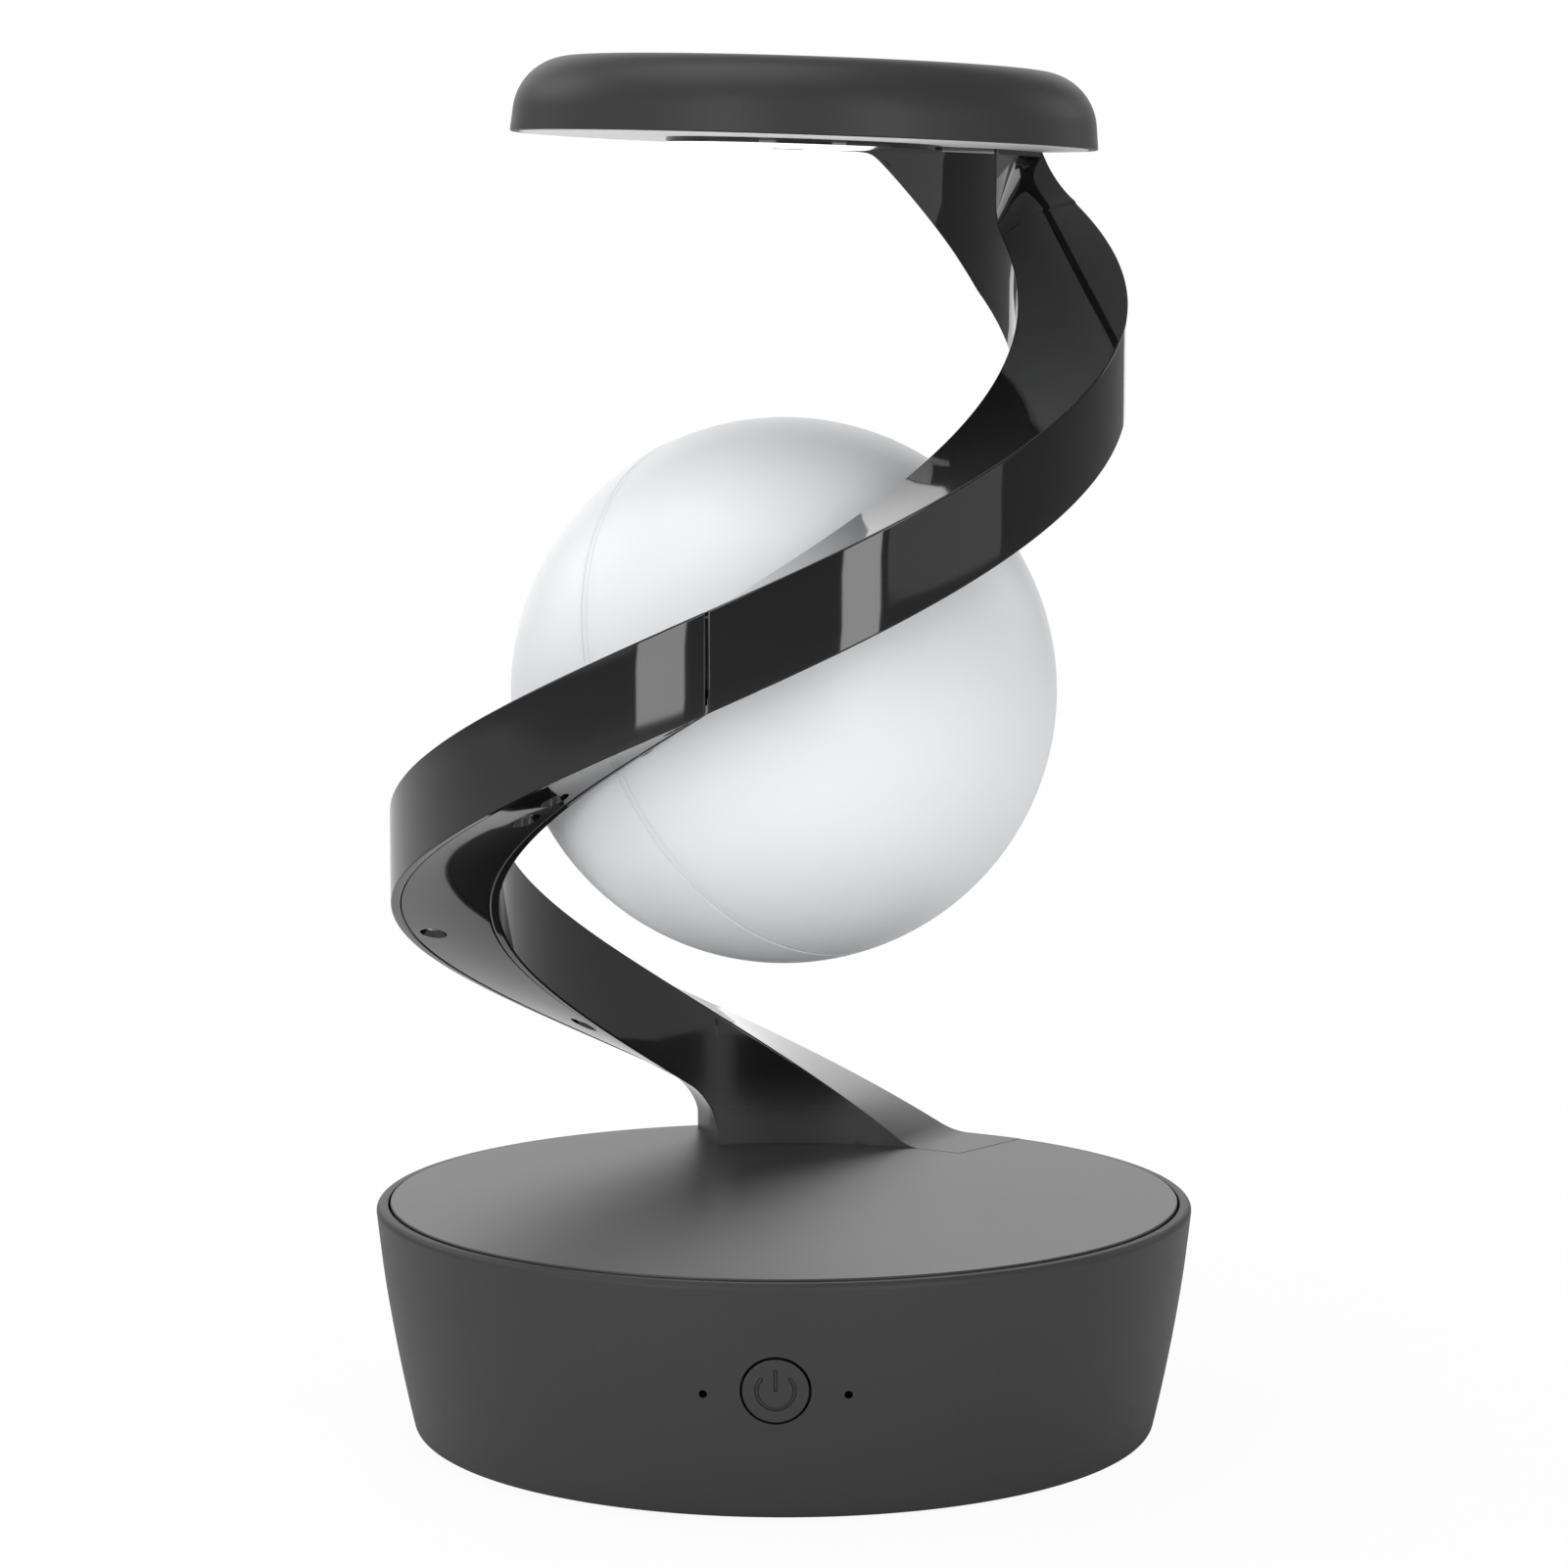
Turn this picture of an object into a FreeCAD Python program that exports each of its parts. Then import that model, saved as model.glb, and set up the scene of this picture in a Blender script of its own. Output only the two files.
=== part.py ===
"""Magnetic balance lamp: a round base, a helical arm, a lit head and a ball held by a magnet.

Frame: origin on the table under the middle of the base, +Z up, -Y towards the power button.
Lengths are millimetres. Angles round the arm start at the back (+Y) and grow to the left.
"""
import FreeCAD, Part
import math
import os
import re

from FreeCAD import Placement, Rotation, Vector

DIMENSIONS = [
    # base housing and deck
    ("rim_radius", 75.0, "outer radius of the base at its rim"),
    ("rim_height", 42.0, "top of the rim above the table"),
    ("foot_draft", 7.0, "loss of radius from the rim to the foot"),
    ("foot_radius", "=rim_radius - foot_draft", "outer radius of the housing at its lower edge"),
    ("side_bow", 340.0, "radius of the slight outward bow of the side wall"),
    ("shell_wall", 2.4, "wall of the housing"),
    ("pad_standoff", 1.0, "housing edge above the table"),
    ("foot_round", 1.5, "rounding of the lower edge"),
    ("rim_round", 0.9, "rounding of the rim"),
    ("rim_width", 2.3, "flat width of the rim"),
    ("rim_gap", 0.5, "gap between deck and rim"),
    ("deck_radius", "=rim_radius - rim_width - rim_gap", "radius of the deck plate"),
    ("deck_drop", 0.2, "deck surface below the rim"),
    ("deck_thickness", 2.6, "deck plate"),
    ("deck_bevel", 0.5, "bevel round the deck"),
    ("ledge_width", 2.5, "ledge that carries the deck"),
    ("ledge_height", 2.2, "depth of that ledge"),
    # underside
    ("flange_height", 3.2, "underside of the bottom flange"),
    ("flange_thickness", 2.0, "bottom flange"),
    ("cover_border", 3.0, "edge of the housing round the bottom cover"),
    ("cover_radius", "=foot_radius - cover_border", "radius of the bottom cover"),
    ("cover_gap", 0.3, "gap round the bottom cover"),
    ("boss_radius", 3.6, "screw bosses in the base"),
    ("screw_margin", 3.4, "bottom screws from the edge of the cover"),
    ("cover_screw_circle", "=cover_radius - screw_margin", "circle of the bottom screws"),
    ("flange_radius", "=cover_screw_circle - boss_radius", "opening of the bottom flange"),
    ("ring_margin", 1.4, "anti-slip ring from the edge of the cover"),
    ("ring_outer", "=cover_radius - ring_margin", "outer radius of the anti-slip ring"),
    ("ring_width", 13.6, "width of the anti-slip ring"),
    ("ring_inner", "=ring_outer - ring_width", "inner radius of the anti-slip ring"),
    ("ring_sink", 0.5, "depth of the groove that holds the ring"),
    ("deck_screw_margin", 6.6, "deck screws from the edge of the deck"),
    ("deck_screw_circle", "=deck_radius - deck_screw_margin", "circle of the deck screws"),
    ("boss_height", 9.4, "height of the bottom bosses"),
    ("lug_thickness", 3.0, "lugs under the deck bosses"),
    ("deck_boss_depth", 5.4, "deck bosses below the deck"),
    # fasteners
    ("screw_radius", 1.25, "shank of a base screw"),
    ("screw_head_radius", 2.3, "head of a base screw"),
    ("screw_head_height", 1.5, "head height"),
    ("screw_length", 8.0, "shank length"),
    ("screw_hole_gap", 0.25, "clearance round a shank"),
    ("pilot_gap", 0.05, "clearance of a pilot hole"),
    ("small_screw_radius", 0.9, "shank of an arm screw"),
    ("small_head_radius", 1.5, "head of an arm screw"),
    ("small_head_height", 0.9, "head height of an arm screw"),
    ("small_screw_length", 6.0, "shank length of an arm screw"),
    # inside the base
    ("ballast_gap", 3.0, "ballast plate inside the flange"),
    ("ballast_radius", "=flange_radius - ballast_gap", "steel ballast plate"),
    ("ballast_thickness", 7.0, "ballast plate thickness"),
    ("ballast_window", 9.0, "hole in the middle of the ballast"),
    ("post_circle", 40.0, "circle of the board posts"),
    ("post_radius", 3.2, "board posts"),
    ("post_hole_gap", 0.6, "ballast clearance round a post"),
    ("board_height", 15.0, "underside of the main board"),
    ("board_thickness", 1.6, "printed boards"),
    ("board_margin", 1.6, "main board from the foot radius"),
    ("board_radius", "=foot_radius - board_margin", "main board radius"),
    ("board_window", 16.0, "cable window in the main board"),
    # power button and indicators
    ("button_height", 24.7, "button axis above the table"),
    ("button_radius", 6.15, "button cap"),
    ("button_gap", 0.3, "gap round the button"),
    ("button_proud", 0.3, "cap stands out of the wall"),
    ("button_travel", 0.8, "button travel"),
    ("button_flange_radius", 7.5, "flange behind the wall"),
    ("button_flange_thickness", 1.2, "flange thickness"),
    ("button_flange_gap", 0.27, "play in front of the flange"),
    ("button_flange_reach", "=foot_radius - shell_wall + foot_draft * (button_height - button_flange_radius) / rim_height - button_flange_gap", "front of the flange from the axis"),
    ("switch_side", 6.0, "side of the switch body"),
    ("switch_depth", 2.4, "depth of the switch body"),
    ("plunger_radius", 1.75, "switch plunger"),
    ("plunger_length", 1.0, "plunger length"),
    ("button_board_width", 32.0, "width of the button board"),
    ("button_board_rise", 15.0, "height of the button board"),
    ("pin_spacing", 12.45, "light pipes from the button axis"),
    ("pin_drop", 0.9, "light pipes below the button axis"),
    ("pin_radius", 0.65, "light pipe"),
    ("pin_gap", 0.15, "gap round a light pipe"),
    ("pin_recess", 0.7, "light pipe below the wall surface"),
    # power inlet
    ("inlet_width", 8.94, "width of the inlet shell"),
    ("inlet_rise", 3.26, "height of the inlet shell"),
    ("inlet_depth", 7.4, "length of the inlet shell"),
    ("inlet_wall", 0.3, "inlet shell sheet"),
    ("inlet_gap", 0.25, "gap round the inlet"),
    ("inlet_recess", 0.5, "front of the inlet below the wall"),
    ("inlet_reach", "=foot_radius + foot_draft * board_height / rim_height - inlet_recess", "front of the inlet from the axis"),
    ("tongue_width", 6.7, "inlet tongue width"),
    ("tongue_thickness", 0.7, "inlet tongue thickness"),
    # helical arm
    ("arm_centre_x", -1.4, "axis of the helix"),
    ("arm_centre_y", -2.8, "axis of the helix"),
    ("arm_margin", 5.6, "arm at the front from the edge of the deck"),
    ("arm_radius", "=deck_radius - arm_margin", "outer radius at the front"),
    ("arm_taper", 7.3, "loss of radius in half a turn"),
    ("arm_rise", 95.0, "rise in half a turn"),
    ("foot_height", 25.3, "rise of the arm over the rim at the back, less its bow"),
    ("arm_height", "=rim_height + foot_height + arm_rise", "top surface at the front"),
    ("arm_bow", -2.4, "square term of the rise"),
    ("arm_ease", 5.0, "cube term of the rise"),
    ("arm_width", 19.7, "width of the arm"),
    ("arm_depth", 17.4, "depth of the arm"),
    ("arm_wall", 1.8, "wall of the arm channel"),
    ("arm_ledge", 1.0, "ledge that carries a cover"),
    ("foot_start", -30.0, "angle where the arm leaves the deck"),
    ("foot_face", 13.4, "angle of the end face over the deck"),
    ("seam_angle", 171.0, "joint between lower and upper arm"),
    ("top_face_inner", 291.2, "top end face at the inner wall"),
    ("top_face_outer", 309.0, "top end face at the outer wall"),
    ("block_start", 270.0, "angle where the end block under the head starts"),
    ("tail_end", 366.0, "last angle of the arm under the head"),
    ("end_round", 6.0, "concave rounding over the deck"),
    ("top_round", 9.0, "concave rounding under the head"),
    ("plate_radius", 25.0, "centre plate of the head"),
    ("plate_depth", 1.0, "centre plate below the head"),
    ("plate_fairing", 2.4, "fairing from the arm into the plate"),
    ("bridge_start", 22.0, "first angle of the bridge"),
    ("bridge_end", 90.0, "last angle of the bridge"),
    # arm covers and joint
    ("cover_thickness", 2.4, "arm covers"),
    ("cover_recess", 0.6, "arm covers below the channel rim"),
    ("cover_clearance", 0.15, "gap round an arm cover"),
    ("cover_margin", 1.2, "degrees from the seam to a cover"),
    ("lower_cover_start", 22.0, "first angle of the lower cover"),
    ("upper_cover_end", 284.0, "last angle of the upper cover"),
    ("rib_span", 3.4, "half angle of a screw block"),
    ("rib_inset", 9.6, "outer side of a screw block"),
    ("screw_inset", 13.2, "cover screws from the outer wall"),
    ("tongue_span", 4.0, "angle of the tongue at the seam"),
    ("tongue_gap", 0.2, "gap round the tongue"),
    ("tongue_wall", 1.6, "wall of the tongue"),
    ("wire_inset", 5.0, "flat cable from the outer wall"),
    ("wire_width", 3.3, "flat cable width"),
    ("wire_drop", 4.0, "flat cable under the top surface"),
    ("wire_thickness", 1.0, "flat cable thickness"),
    # ball
    ("ball_bulge", 2.7, "ball beyond the inner radius of the arm"),
    ("ball_radius", "=arm_radius - arm_width + ball_bulge", "ball"),
    ("ball_drop", 25.5, "ball centre below the top of the arm at the front"),
    ("ball_height", "=arm_height - ball_drop", "ball centre above the table"),
    ("ball_wall", 2.2, "ball shell"),
    ("ball_turn", -39.9, "seam axis of the ball round the lamp axis"),
    ("ball_lean", 69.3, "seam axis of the ball from the vertical"),
    ("band_width", 1.4, "seam band"),
    ("band_lip", 5.0, "inner lip of the seam band"),
    ("band_lip_depth", 1.5, "depth of that lip"),
    ("frame_thickness", 1.6, "plate across the ball"),
    ("cell_radius", 9.1, "battery cell"),
    ("cell_length", 50.0, "battery cell length"),
    ("light_radius", 24.0, "light boards in the ball"),
    ("light_offset", 13.0, "light boards from the seam plane"),
    ("keeper_radius", 8.6, "steel keeper plate"),
    ("keeper_thickness", 2.0, "steel keeper plate"),
    ("keeper_boss", 6.0, "boss behind the keeper"),
    ("keeper_boss_length", 12.6, "length of that boss"),
    # magnet in the arm
    ("magnet_radius", 5.2, "arm magnet"),
    ("magnet_thickness", 5.0, "arm magnet"),
    ("magnet_gap", 0.3, "play round the magnet"),
    ("magnet_boss", 7.3, "boss round the magnet"),
    ("pad_gap", 0.4, "air between ball and magnet cap"),
    ("pad_thickness", 0.7, "magnet cap"),
    ("cap_gap", 0.1, "gap round the magnet cap"),
    # head
    ("head_x", 3.5, "middle of the head"),
    ("head_y", 6.0, "middle of the head"),
    ("top_face_rise", 5.52, "upright end face, less the bow of the arm"),
    ("head_level", "=arm_height + arm_rise * (top_face_outer - 180) / 180 + top_face_rise", "underside of the head above the table"),
    ("head_roll", 1.9, "head leans down to the right"),
    ("head_pitch", 1.2, "head leans down to the back"),
    ("head_inset", 13.5, "head inside the radius of the arm"),
    ("head_radius", "=arm_radius - head_inset", "head at its lower rim"),
    ("bridge_margin", 3.1, "bridge inside the head"),
    ("bridge_radius", "=head_radius - bridge_margin", "bridge from the plate to the arm"),
    ("head_draft", 1.4, "loss of radius up to the top of the head"),
    ("head_top_radius", "=head_radius - head_draft", "head wall carried up to the top"),
    ("head_thickness", 15.1, "head in the middle"),
    ("head_edge", 14.4, "head at the edge before rounding"),
    ("head_dome", 1700.0, "radius of the domed top"),
    ("head_round", 10.5, "rounding of the top edge"),
    ("head_wall", 1.6, "wall of the head shell"),
    ("diffuser_thickness", 2.0, "light diffuser"),
    ("diffuser_recess", 0.4, "diffuser inside the rim"),
    ("diffuser_gap", 0.2, "gap round the diffuser"),
    ("chassis_height", 6.0, "underside of the head chassis"),
    ("chassis_thickness", 1.5, "head chassis"),
    ("chassis_margin", 3.1, "head chassis inside the shell"),
    ("chassis_radius", "=head_radius - head_wall - chassis_margin", "head chassis"),
    ("led_margin", 20.1, "light board inside the head"),
    ("led_outer", "=head_radius - led_margin", "light board of the head"),
    ("led_inner", 10.0, "hole of the light board"),
    ("led_board_thickness", 1.2, "light board"),
    ("led_border", 6.0, "lamps from the edge of the light board"),
    ("led_circle", "=led_outer - led_border", "circle of the lamps"),
    ("led_side", 2.8, "side of one lamp"),
    ("led_rise", 0.7, "height of one lamp"),
    ("neck_angle", 318.0, "cable neck through the diffuser"),
    ("neck_radius", 6.0, "cable neck"),
    ("neck_bore", 4.0, "bore of the cable neck"),
    ("stud_radius", 2.8, "screw studs through the diffuser"),
    ("stud_spread", 13.5, "studs from the neck, in degrees"),
    ("neck_gap", 0.3, "gap round neck and studs"),
    ("head_boss_margin", 11.1, "bosses of the head shell from its edge"),
    ("head_boss_circle", "=head_radius - head_boss_margin", "bosses of the head shell"),
]

SCREW_ANGLES = (45, 135, 225, 315)
POST_ANGLES = (20, 110, 200, 290)
LOWER_COVER_SCREWS = (40, 78, 129, 137, 163)
UPPER_COVER_SCREWS = (186, 222, 258, 280)
HEAD_BOSS_ANGLES = (100, 170, 240, 330)
HEAD_LED_COUNT = 24
BALL_LED_COUNT = 8
EDGE_STEP = 6.0

ALIASES = {alias for alias, _value, _note in DIMENSIONS}
DOC = FreeCAD.newDocument("balance_lamp")
SHEET = DOC.addObject("Spreadsheet::Sheet", "dims")
SUB_PARTS = []


# ---------------------------------------------------------------- sheet and sketches

def fill_sheet():
    """Write every driving dimension with its alias."""
    for row, (alias, value, note) in enumerate(DIMENSIONS, 1):
        SHEET.set(f"A{row}", note)
        SHEET.set(f"B{row}", str(value))
        SHEET.setAlias(f"B{row}", alias)
    DOC.recompute()


def size(alias):
    """Value of one cell of the sheet."""
    return float(SHEET.get(alias))


def bound(text):
    """Expression in which every alias points at the sheet."""
    return re.sub(r"[a-z_]+", lambda word: "dims." + word[0] if word[0] in ALIASES else word[0], text)


def number(text):
    """Present value of an expression."""
    result = SHEET.evalExpression(re.sub(r"dims\.", "", bound(text)))
    return float(getattr(result, "Value", result))


def bind(item, path, text):
    """Tie one property to an expression of the sheet."""
    item.setExpression(path, bound(text))


def keep(item, label):
    """Note an object as a sub-part under its own label."""
    item.Label = label
    SUB_PARTS.append(item)
    return item


def origin_item(body, role):
    """Plane or axis of a body's own origin."""
    return next(item for item in body.Origin.OriginFeatures if item.Role == role)


def new_body(name):
    """Empty PartDesign body."""
    return DOC.addObject("PartDesign::Body", name)


def new_sketch(body, role="XZ_Plane", lift=None):
    """Sketch on a plane of the body's origin, lifted along its normal."""
    sketch = body.newObject("Sketcher::SketchObject", body.Name + "_sketch")
    sketch.AttachmentSupport = [(origin_item(body, role), "")]
    sketch.MapMode = "FlatFace"
    if lift:
        bind(sketch, ".AttachmentOffset.Base.z", lift)
    return sketch


def pin_point(sketch, line, place, axis, text):
    """Hold one coordinate of a sketch point by an expression."""
    import Sketcher
    value = number(text)
    if abs(value) < 1e-9:
        sketch.addConstraint(Sketcher.Constraint("PointOnObject", line, place, -2 if axis == "X" else -1))
        return
    index = sketch.addConstraint(Sketcher.Constraint("Distance" + axis, -1, 1, line, place, value))
    sketch.setExpression(f"Constraints[{index}]", bound(text))


def outline(sketch, corners):
    """Closed outline of (x, y) corners.

    A third entry makes the side after a corner an arc of that radius, which bows to the right of its
    way, or to the left where the entry starts with a minus sign.
    """
    import Sketcher
    spots = [Vector(number(corner[0]), number(corner[1]), 0) for corner in corners]
    first = sketch.GeometryCount
    for index, corner in enumerate(corners):
        start, end = spots[index], spots[(index + 1) % len(spots)]
        if len(corner) > 2:
            way = -1 if corner[2].startswith("-") else 1
            radius = number(corner[2].lstrip("-"))
            sketch.addGeometry(bowed_side(start, end, radius, way), False)
        else:
            sketch.addGeometry(Part.LineSegment(start, end), False)
    for index, corner in enumerate(corners):
        here, after = first + index, first + (index + 1) % len(corners)
        end_place = arc_end(sketch, here, spots[(index + 1) % len(spots)]) if len(corner) > 2 else 2
        after_arc = len(corners[(index + 1) % len(corners)]) > 2
        start_place = arc_end(sketch, after, spots[(index + 1) % len(spots)]) if after_arc else 1
        sketch.addConstraint(Sketcher.Constraint("Coincident", here, end_place, after, start_place))
    for index, corner in enumerate(corners):
        place = arc_end(sketch, first + index, spots[index]) if len(corner) > 2 else 1
        pin_point(sketch, first + index, place, "X", corner[0])
        pin_point(sketch, first + index, place, "Y", corner[1])
        if len(corner) > 2:
            text = corner[2].lstrip("-")
            radius = Sketcher.Constraint("Radius", first + index, number(text))
            sketch.setExpression(f"Constraints[{sketch.addConstraint(radius)}]", bound(text))


def bowed_side(start, end, radius, way):
    """Arc between two points that bows to the right (1) or left (-1) of the way from start to end."""
    chord = end - start
    side = Vector(chord.y, -chord.x, 0).normalize() * way
    sagitta = radius - math.sqrt(radius ** 2 - (chord.Length / 2) ** 2)
    return Part.Arc(start, (start + end) * 0.5 + side * sagitta, end)


def arc_end(sketch, line, spot):
    """Which end of an arc lies on a spot."""
    return 1 if (sketch.getPoint(line, 1) - spot).Length < (sketch.getPoint(line, 2) - spot).Length else 2


def circle(sketch, x, y, radius):
    """Circle at (x, y) in a sketch, all given as expressions."""
    import Sketcher
    centre = Vector(number(x), number(y), 0)
    index = sketch.addGeometry(Part.Circle(centre, Vector(0, 0, 1), number(radius)), False)
    pin_point(sketch, index, 3, "X", x)
    pin_point(sketch, index, 3, "Y", y)
    held = sketch.addConstraint(Sketcher.Constraint("Radius", index, number(radius)))
    sketch.setExpression(f"Constraints[{held}]", bound(radius))


def revolve(body, corners):
    """Turn an outline of (radius, height) corners round the body's own Z axis."""
    sketch = new_sketch(body)
    outline(sketch, corners)
    feature = body.newObject("PartDesign::Revolution", body.Name + "_turned")
    feature.Profile = sketch
    feature.ReferenceAxis = (sketch, ["V_Axis"])
    feature.Angle = 360
    DOC.recompute()
    return feature


def pad(body, sketch, length):
    """Pad a sketch along its normal."""
    feature = body.newObject("PartDesign::Pad", body.Name + "_pad")
    feature.Profile = sketch
    bind(feature, "Length", length)
    DOC.recompute()
    return feature


def drill(body, sketch, length, onward=False):
    """Pocket a sketch; onward cuts along the sketch normal instead of against it."""
    before = body.Shape.Volume
    feature = body.newObject("PartDesign::Pocket", body.Name + "_pocket")
    feature.Profile = sketch
    feature.Reversed = onward
    bind(feature, "Length", length)
    DOC.recompute()
    if body.Shape.Volume >= before - 1e-6:
        raise RuntimeError(feature.Name + " cuts nothing")
    return feature


def around(body, feature, count):
    """Repeat a feature evenly round the body's Z axis."""
    pattern = body.newObject("PartDesign::PolarPattern", body.Name + "_round")
    pattern.Originals = [feature]
    pattern.Axis = (origin_item(body, "Z_Axis"), [""])
    pattern.Angle = 360
    pattern.Occurrences = count
    body.Tip = pattern
    DOC.recompute()
    return pattern


def soften(body, radius, chosen, kind="Fillet"):
    """Fillet or chamfer the edges of the tip that a test chooses."""
    base = body.Tip
    names = [f"Edge{n}" for n, edge in enumerate(base.Shape.Edges, 1) if chosen(edge)]
    if not names:
        raise RuntimeError(body.Name + " has no such edge")
    feature = body.newObject("PartDesign::" + kind, body.Name + "_" + kind.lower())
    feature.Base = (base, names)
    bind(feature, "Radius" if kind == "Fillet" else "Size", radius)
    DOC.recompute()
    return feature


def ring_edge(radius, height):
    """Test for a full circle of this radius at this height of the body."""
    def chosen(edge):
        curve = None if edge.Degenerated else edge.Curve
        if not isinstance(curve, Part.Circle) or abs(curve.Radius - radius) > 0.02:
            return False
        return abs(curve.Center.z - height) < 0.02 and math.hypot(curve.Center.x, curve.Center.y) < 0.02
    return chosen


def feature_of(name, shape, label=None, place=None):
    """Part::Feature that holds a computed shape."""
    item = DOC.addObject("Part::Feature", name)
    item.Shape = shape
    if place:
        item.Placement = place
    if label:
        keep(item, label)
    return item


def fused(name, items):
    """Part::MultiFuse of several objects."""
    item = DOC.addObject("Part::MultiFuse", name)
    item.Shapes = items
    DOC.recompute()
    return item


def cut(name, base, tool):
    """Part::Cut of two objects."""
    item = DOC.addObject("Part::Cut", name)
    item.Base = base
    item.Tool = tool
    DOC.recompute()
    return item


def cylinder(name, radius, length, spot, axis=Vector(0, 0, 1)):
    """Part::Cylinder whose radius and length are expressions."""
    item = DOC.addObject("Part::Cylinder", name)
    bind(item, "Radius", radius)
    bind(item, "Height", length)
    item.Placement = Placement(spot, Rotation(Vector(0, 0, 1), axis))
    return item


# ---------------------------------------------------------------- plain shapes

def rod(spot, axis, radius, length):
    """Solid cylinder from a spot along an axis."""
    return Part.makeCylinder(radius, length, spot, axis)


def block(width, depth, rise, middle):
    """Box given by its sides and the middle of its underside."""
    corner = middle - Vector(width / 2, depth / 2, 0)
    return Part.makeBox(width, depth, rise, corner)


def screw_at(spot, axis, radius, length, head_radius, head_height):
    """Screw whose head rests on a spot; its shank runs along the axis."""
    shank = rod(spot, axis, radius, length)
    head = rod(spot - axis * head_height, axis, head_radius, head_height)
    socket = rod(spot - axis * head_height, axis, head_radius * 0.45, head_height * 0.5)
    return head.fuse(shank).cut(socket).removeSplitter()


def base_screw(spot, axis):
    """Screw of the base."""
    return screw_at(spot, axis, size("screw_radius"), size("screw_length"),
                    size("screw_head_radius"), size("screw_head_height"))


def small_screw(spot, axis):
    """Screw of the arm, head or ball."""
    return screw_at(spot, axis, size("small_screw_radius"), size("small_screw_length"),
                    size("small_head_radius"), size("small_head_height"))


def polar(radius, degrees, height=0.0):
    """Point at a radius and an angle counted from +X."""
    turn = math.radians(degrees)
    return Vector(radius * math.cos(turn), radius * math.sin(turn), height)


def deck_top():
    """Height of the deck surface."""
    return size("rim_height") - size("deck_drop")


def deck_seat():
    """Height of the ledge under the deck."""
    return deck_top() - size("deck_thickness")


def wall_radius(height):
    """Outer radius of the bowed base wall at a height."""
    low = Vector(size("foot_radius"), size("pad_standoff"), 0)
    high = Vector(size("rim_radius"), size("rim_height"), 0)
    bow = size("side_bow")
    chord = high - low
    side = Vector(chord.y, -chord.x, 0).normalize()
    centre = (low + high) * 0.5 - side * math.sqrt(bow ** 2 - (chord.Length / 2) ** 2)
    return centre.x + math.sqrt(bow ** 2 - (height - centre.y) ** 2)


# ---------------------------------------------------------------- base

def make_base_housing():
    """Bowed side wall with the deck ledge, the bottom flange, screw bosses and its openings."""
    body = new_body("base_housing")
    revolve(body, [
        ("cover_radius + cover_gap", "pad_standoff"),
        ("foot_radius", "pad_standoff", "side_bow"),
        ("rim_radius", "rim_height"),
        ("deck_radius + rim_gap", "rim_height"),
        ("deck_radius + rim_gap", "rim_height - deck_drop - deck_thickness"),
        ("deck_radius + rim_gap - ledge_width", "rim_height - deck_drop - deck_thickness"),
        ("deck_radius + rim_gap - ledge_width",
         "rim_height - deck_drop - deck_thickness - ledge_height"),
        ("rim_radius - shell_wall - 1.2", "rim_height - deck_drop - deck_thickness - ledge_height - 1.6"),
        ("foot_radius - shell_wall + 0.6", "flange_height + flange_thickness"),
        ("flange_radius", "flange_height + flange_thickness"),
        ("flange_radius", "flange_height"),
        ("cover_radius + cover_gap", "flange_height"),
    ])
    soften(body, "foot_round", ring_edge(size("foot_radius"), size("pad_standoff")))
    soften(body, "rim_round", ring_edge(size("rim_radius"), size("rim_height")))
    add_bottom_bosses(body)
    add_deck_lugs(body)
    add_front_holes(body)
    add_inlet_hole(body)
    keep(body, "base_housing")


def add_bottom_bosses(body):
    """Four bosses on the bottom flange with a pilot hole."""
    boss = new_sketch(body, "XY_Plane", "flange_height + flange_thickness - 0.01")
    spot = ("cover_screw_circle * cos(45)", "cover_screw_circle * sin(45)")
    circle(boss, *spot, "boss_radius")
    around(body, pad(body, boss, "boss_height"), len(SCREW_ANGLES))
    pilot = new_sketch(body, "XY_Plane", "flange_height")
    circle(pilot, *spot, "screw_radius + pilot_gap")
    around(body, drill(body, pilot, "boss_height", onward=True), len(SCREW_ANGLES))


def add_deck_lugs(body):
    """Four lugs on the wall through which the deck is screwed down."""
    level = "rim_height - deck_drop - deck_thickness - deck_boss_depth - lug_thickness"
    lug = new_sketch(body, "XY_Plane", level)
    x, y = "deck_screw_circle * cos(45)", "deck_screw_circle * sin(45)"
    circle(lug, x, y, "boss_radius + 1.6")
    around(body, pad(body, lug, "lug_thickness"), len(SCREW_ANGLES))
    hole = new_sketch(body, "XY_Plane", level)
    circle(hole, x, y, "screw_radius + screw_hole_gap")
    around(body, drill(body, hole, "lug_thickness", onward=True), len(SCREW_ANGLES))


def add_front_holes(body):
    """Button hole and the two pin holes beside it, through the front wall."""
    hole = new_sketch(body, "XZ_Plane")
    circle(hole, "0", "button_height", "button_radius + button_gap")
    drill(body, hole, "rim_radius", onward=True)
    pins = new_sketch(body, "XZ_Plane")
    for side in ("-1 * pin_spacing", "pin_spacing"):
        circle(pins, side, "button_height - pin_drop", "pin_radius + pin_gap")
    drill(body, pins, "rim_radius", onward=True)


def add_inlet_hole(body):
    """Rounded slot for the power inlet, through the rear wall."""
    slot = new_sketch(body, "XZ_Plane")
    slot_outline(slot, "inlet_width / 2 - inlet_rise / 2", "inlet_rise / 2 + inlet_gap", inlet_level())
    drill(body, slot, "rim_radius")


def inlet_level():
    """Expression for the height of the inlet's middle."""
    return "board_height + board_thickness + inlet_rise / 2"


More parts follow.
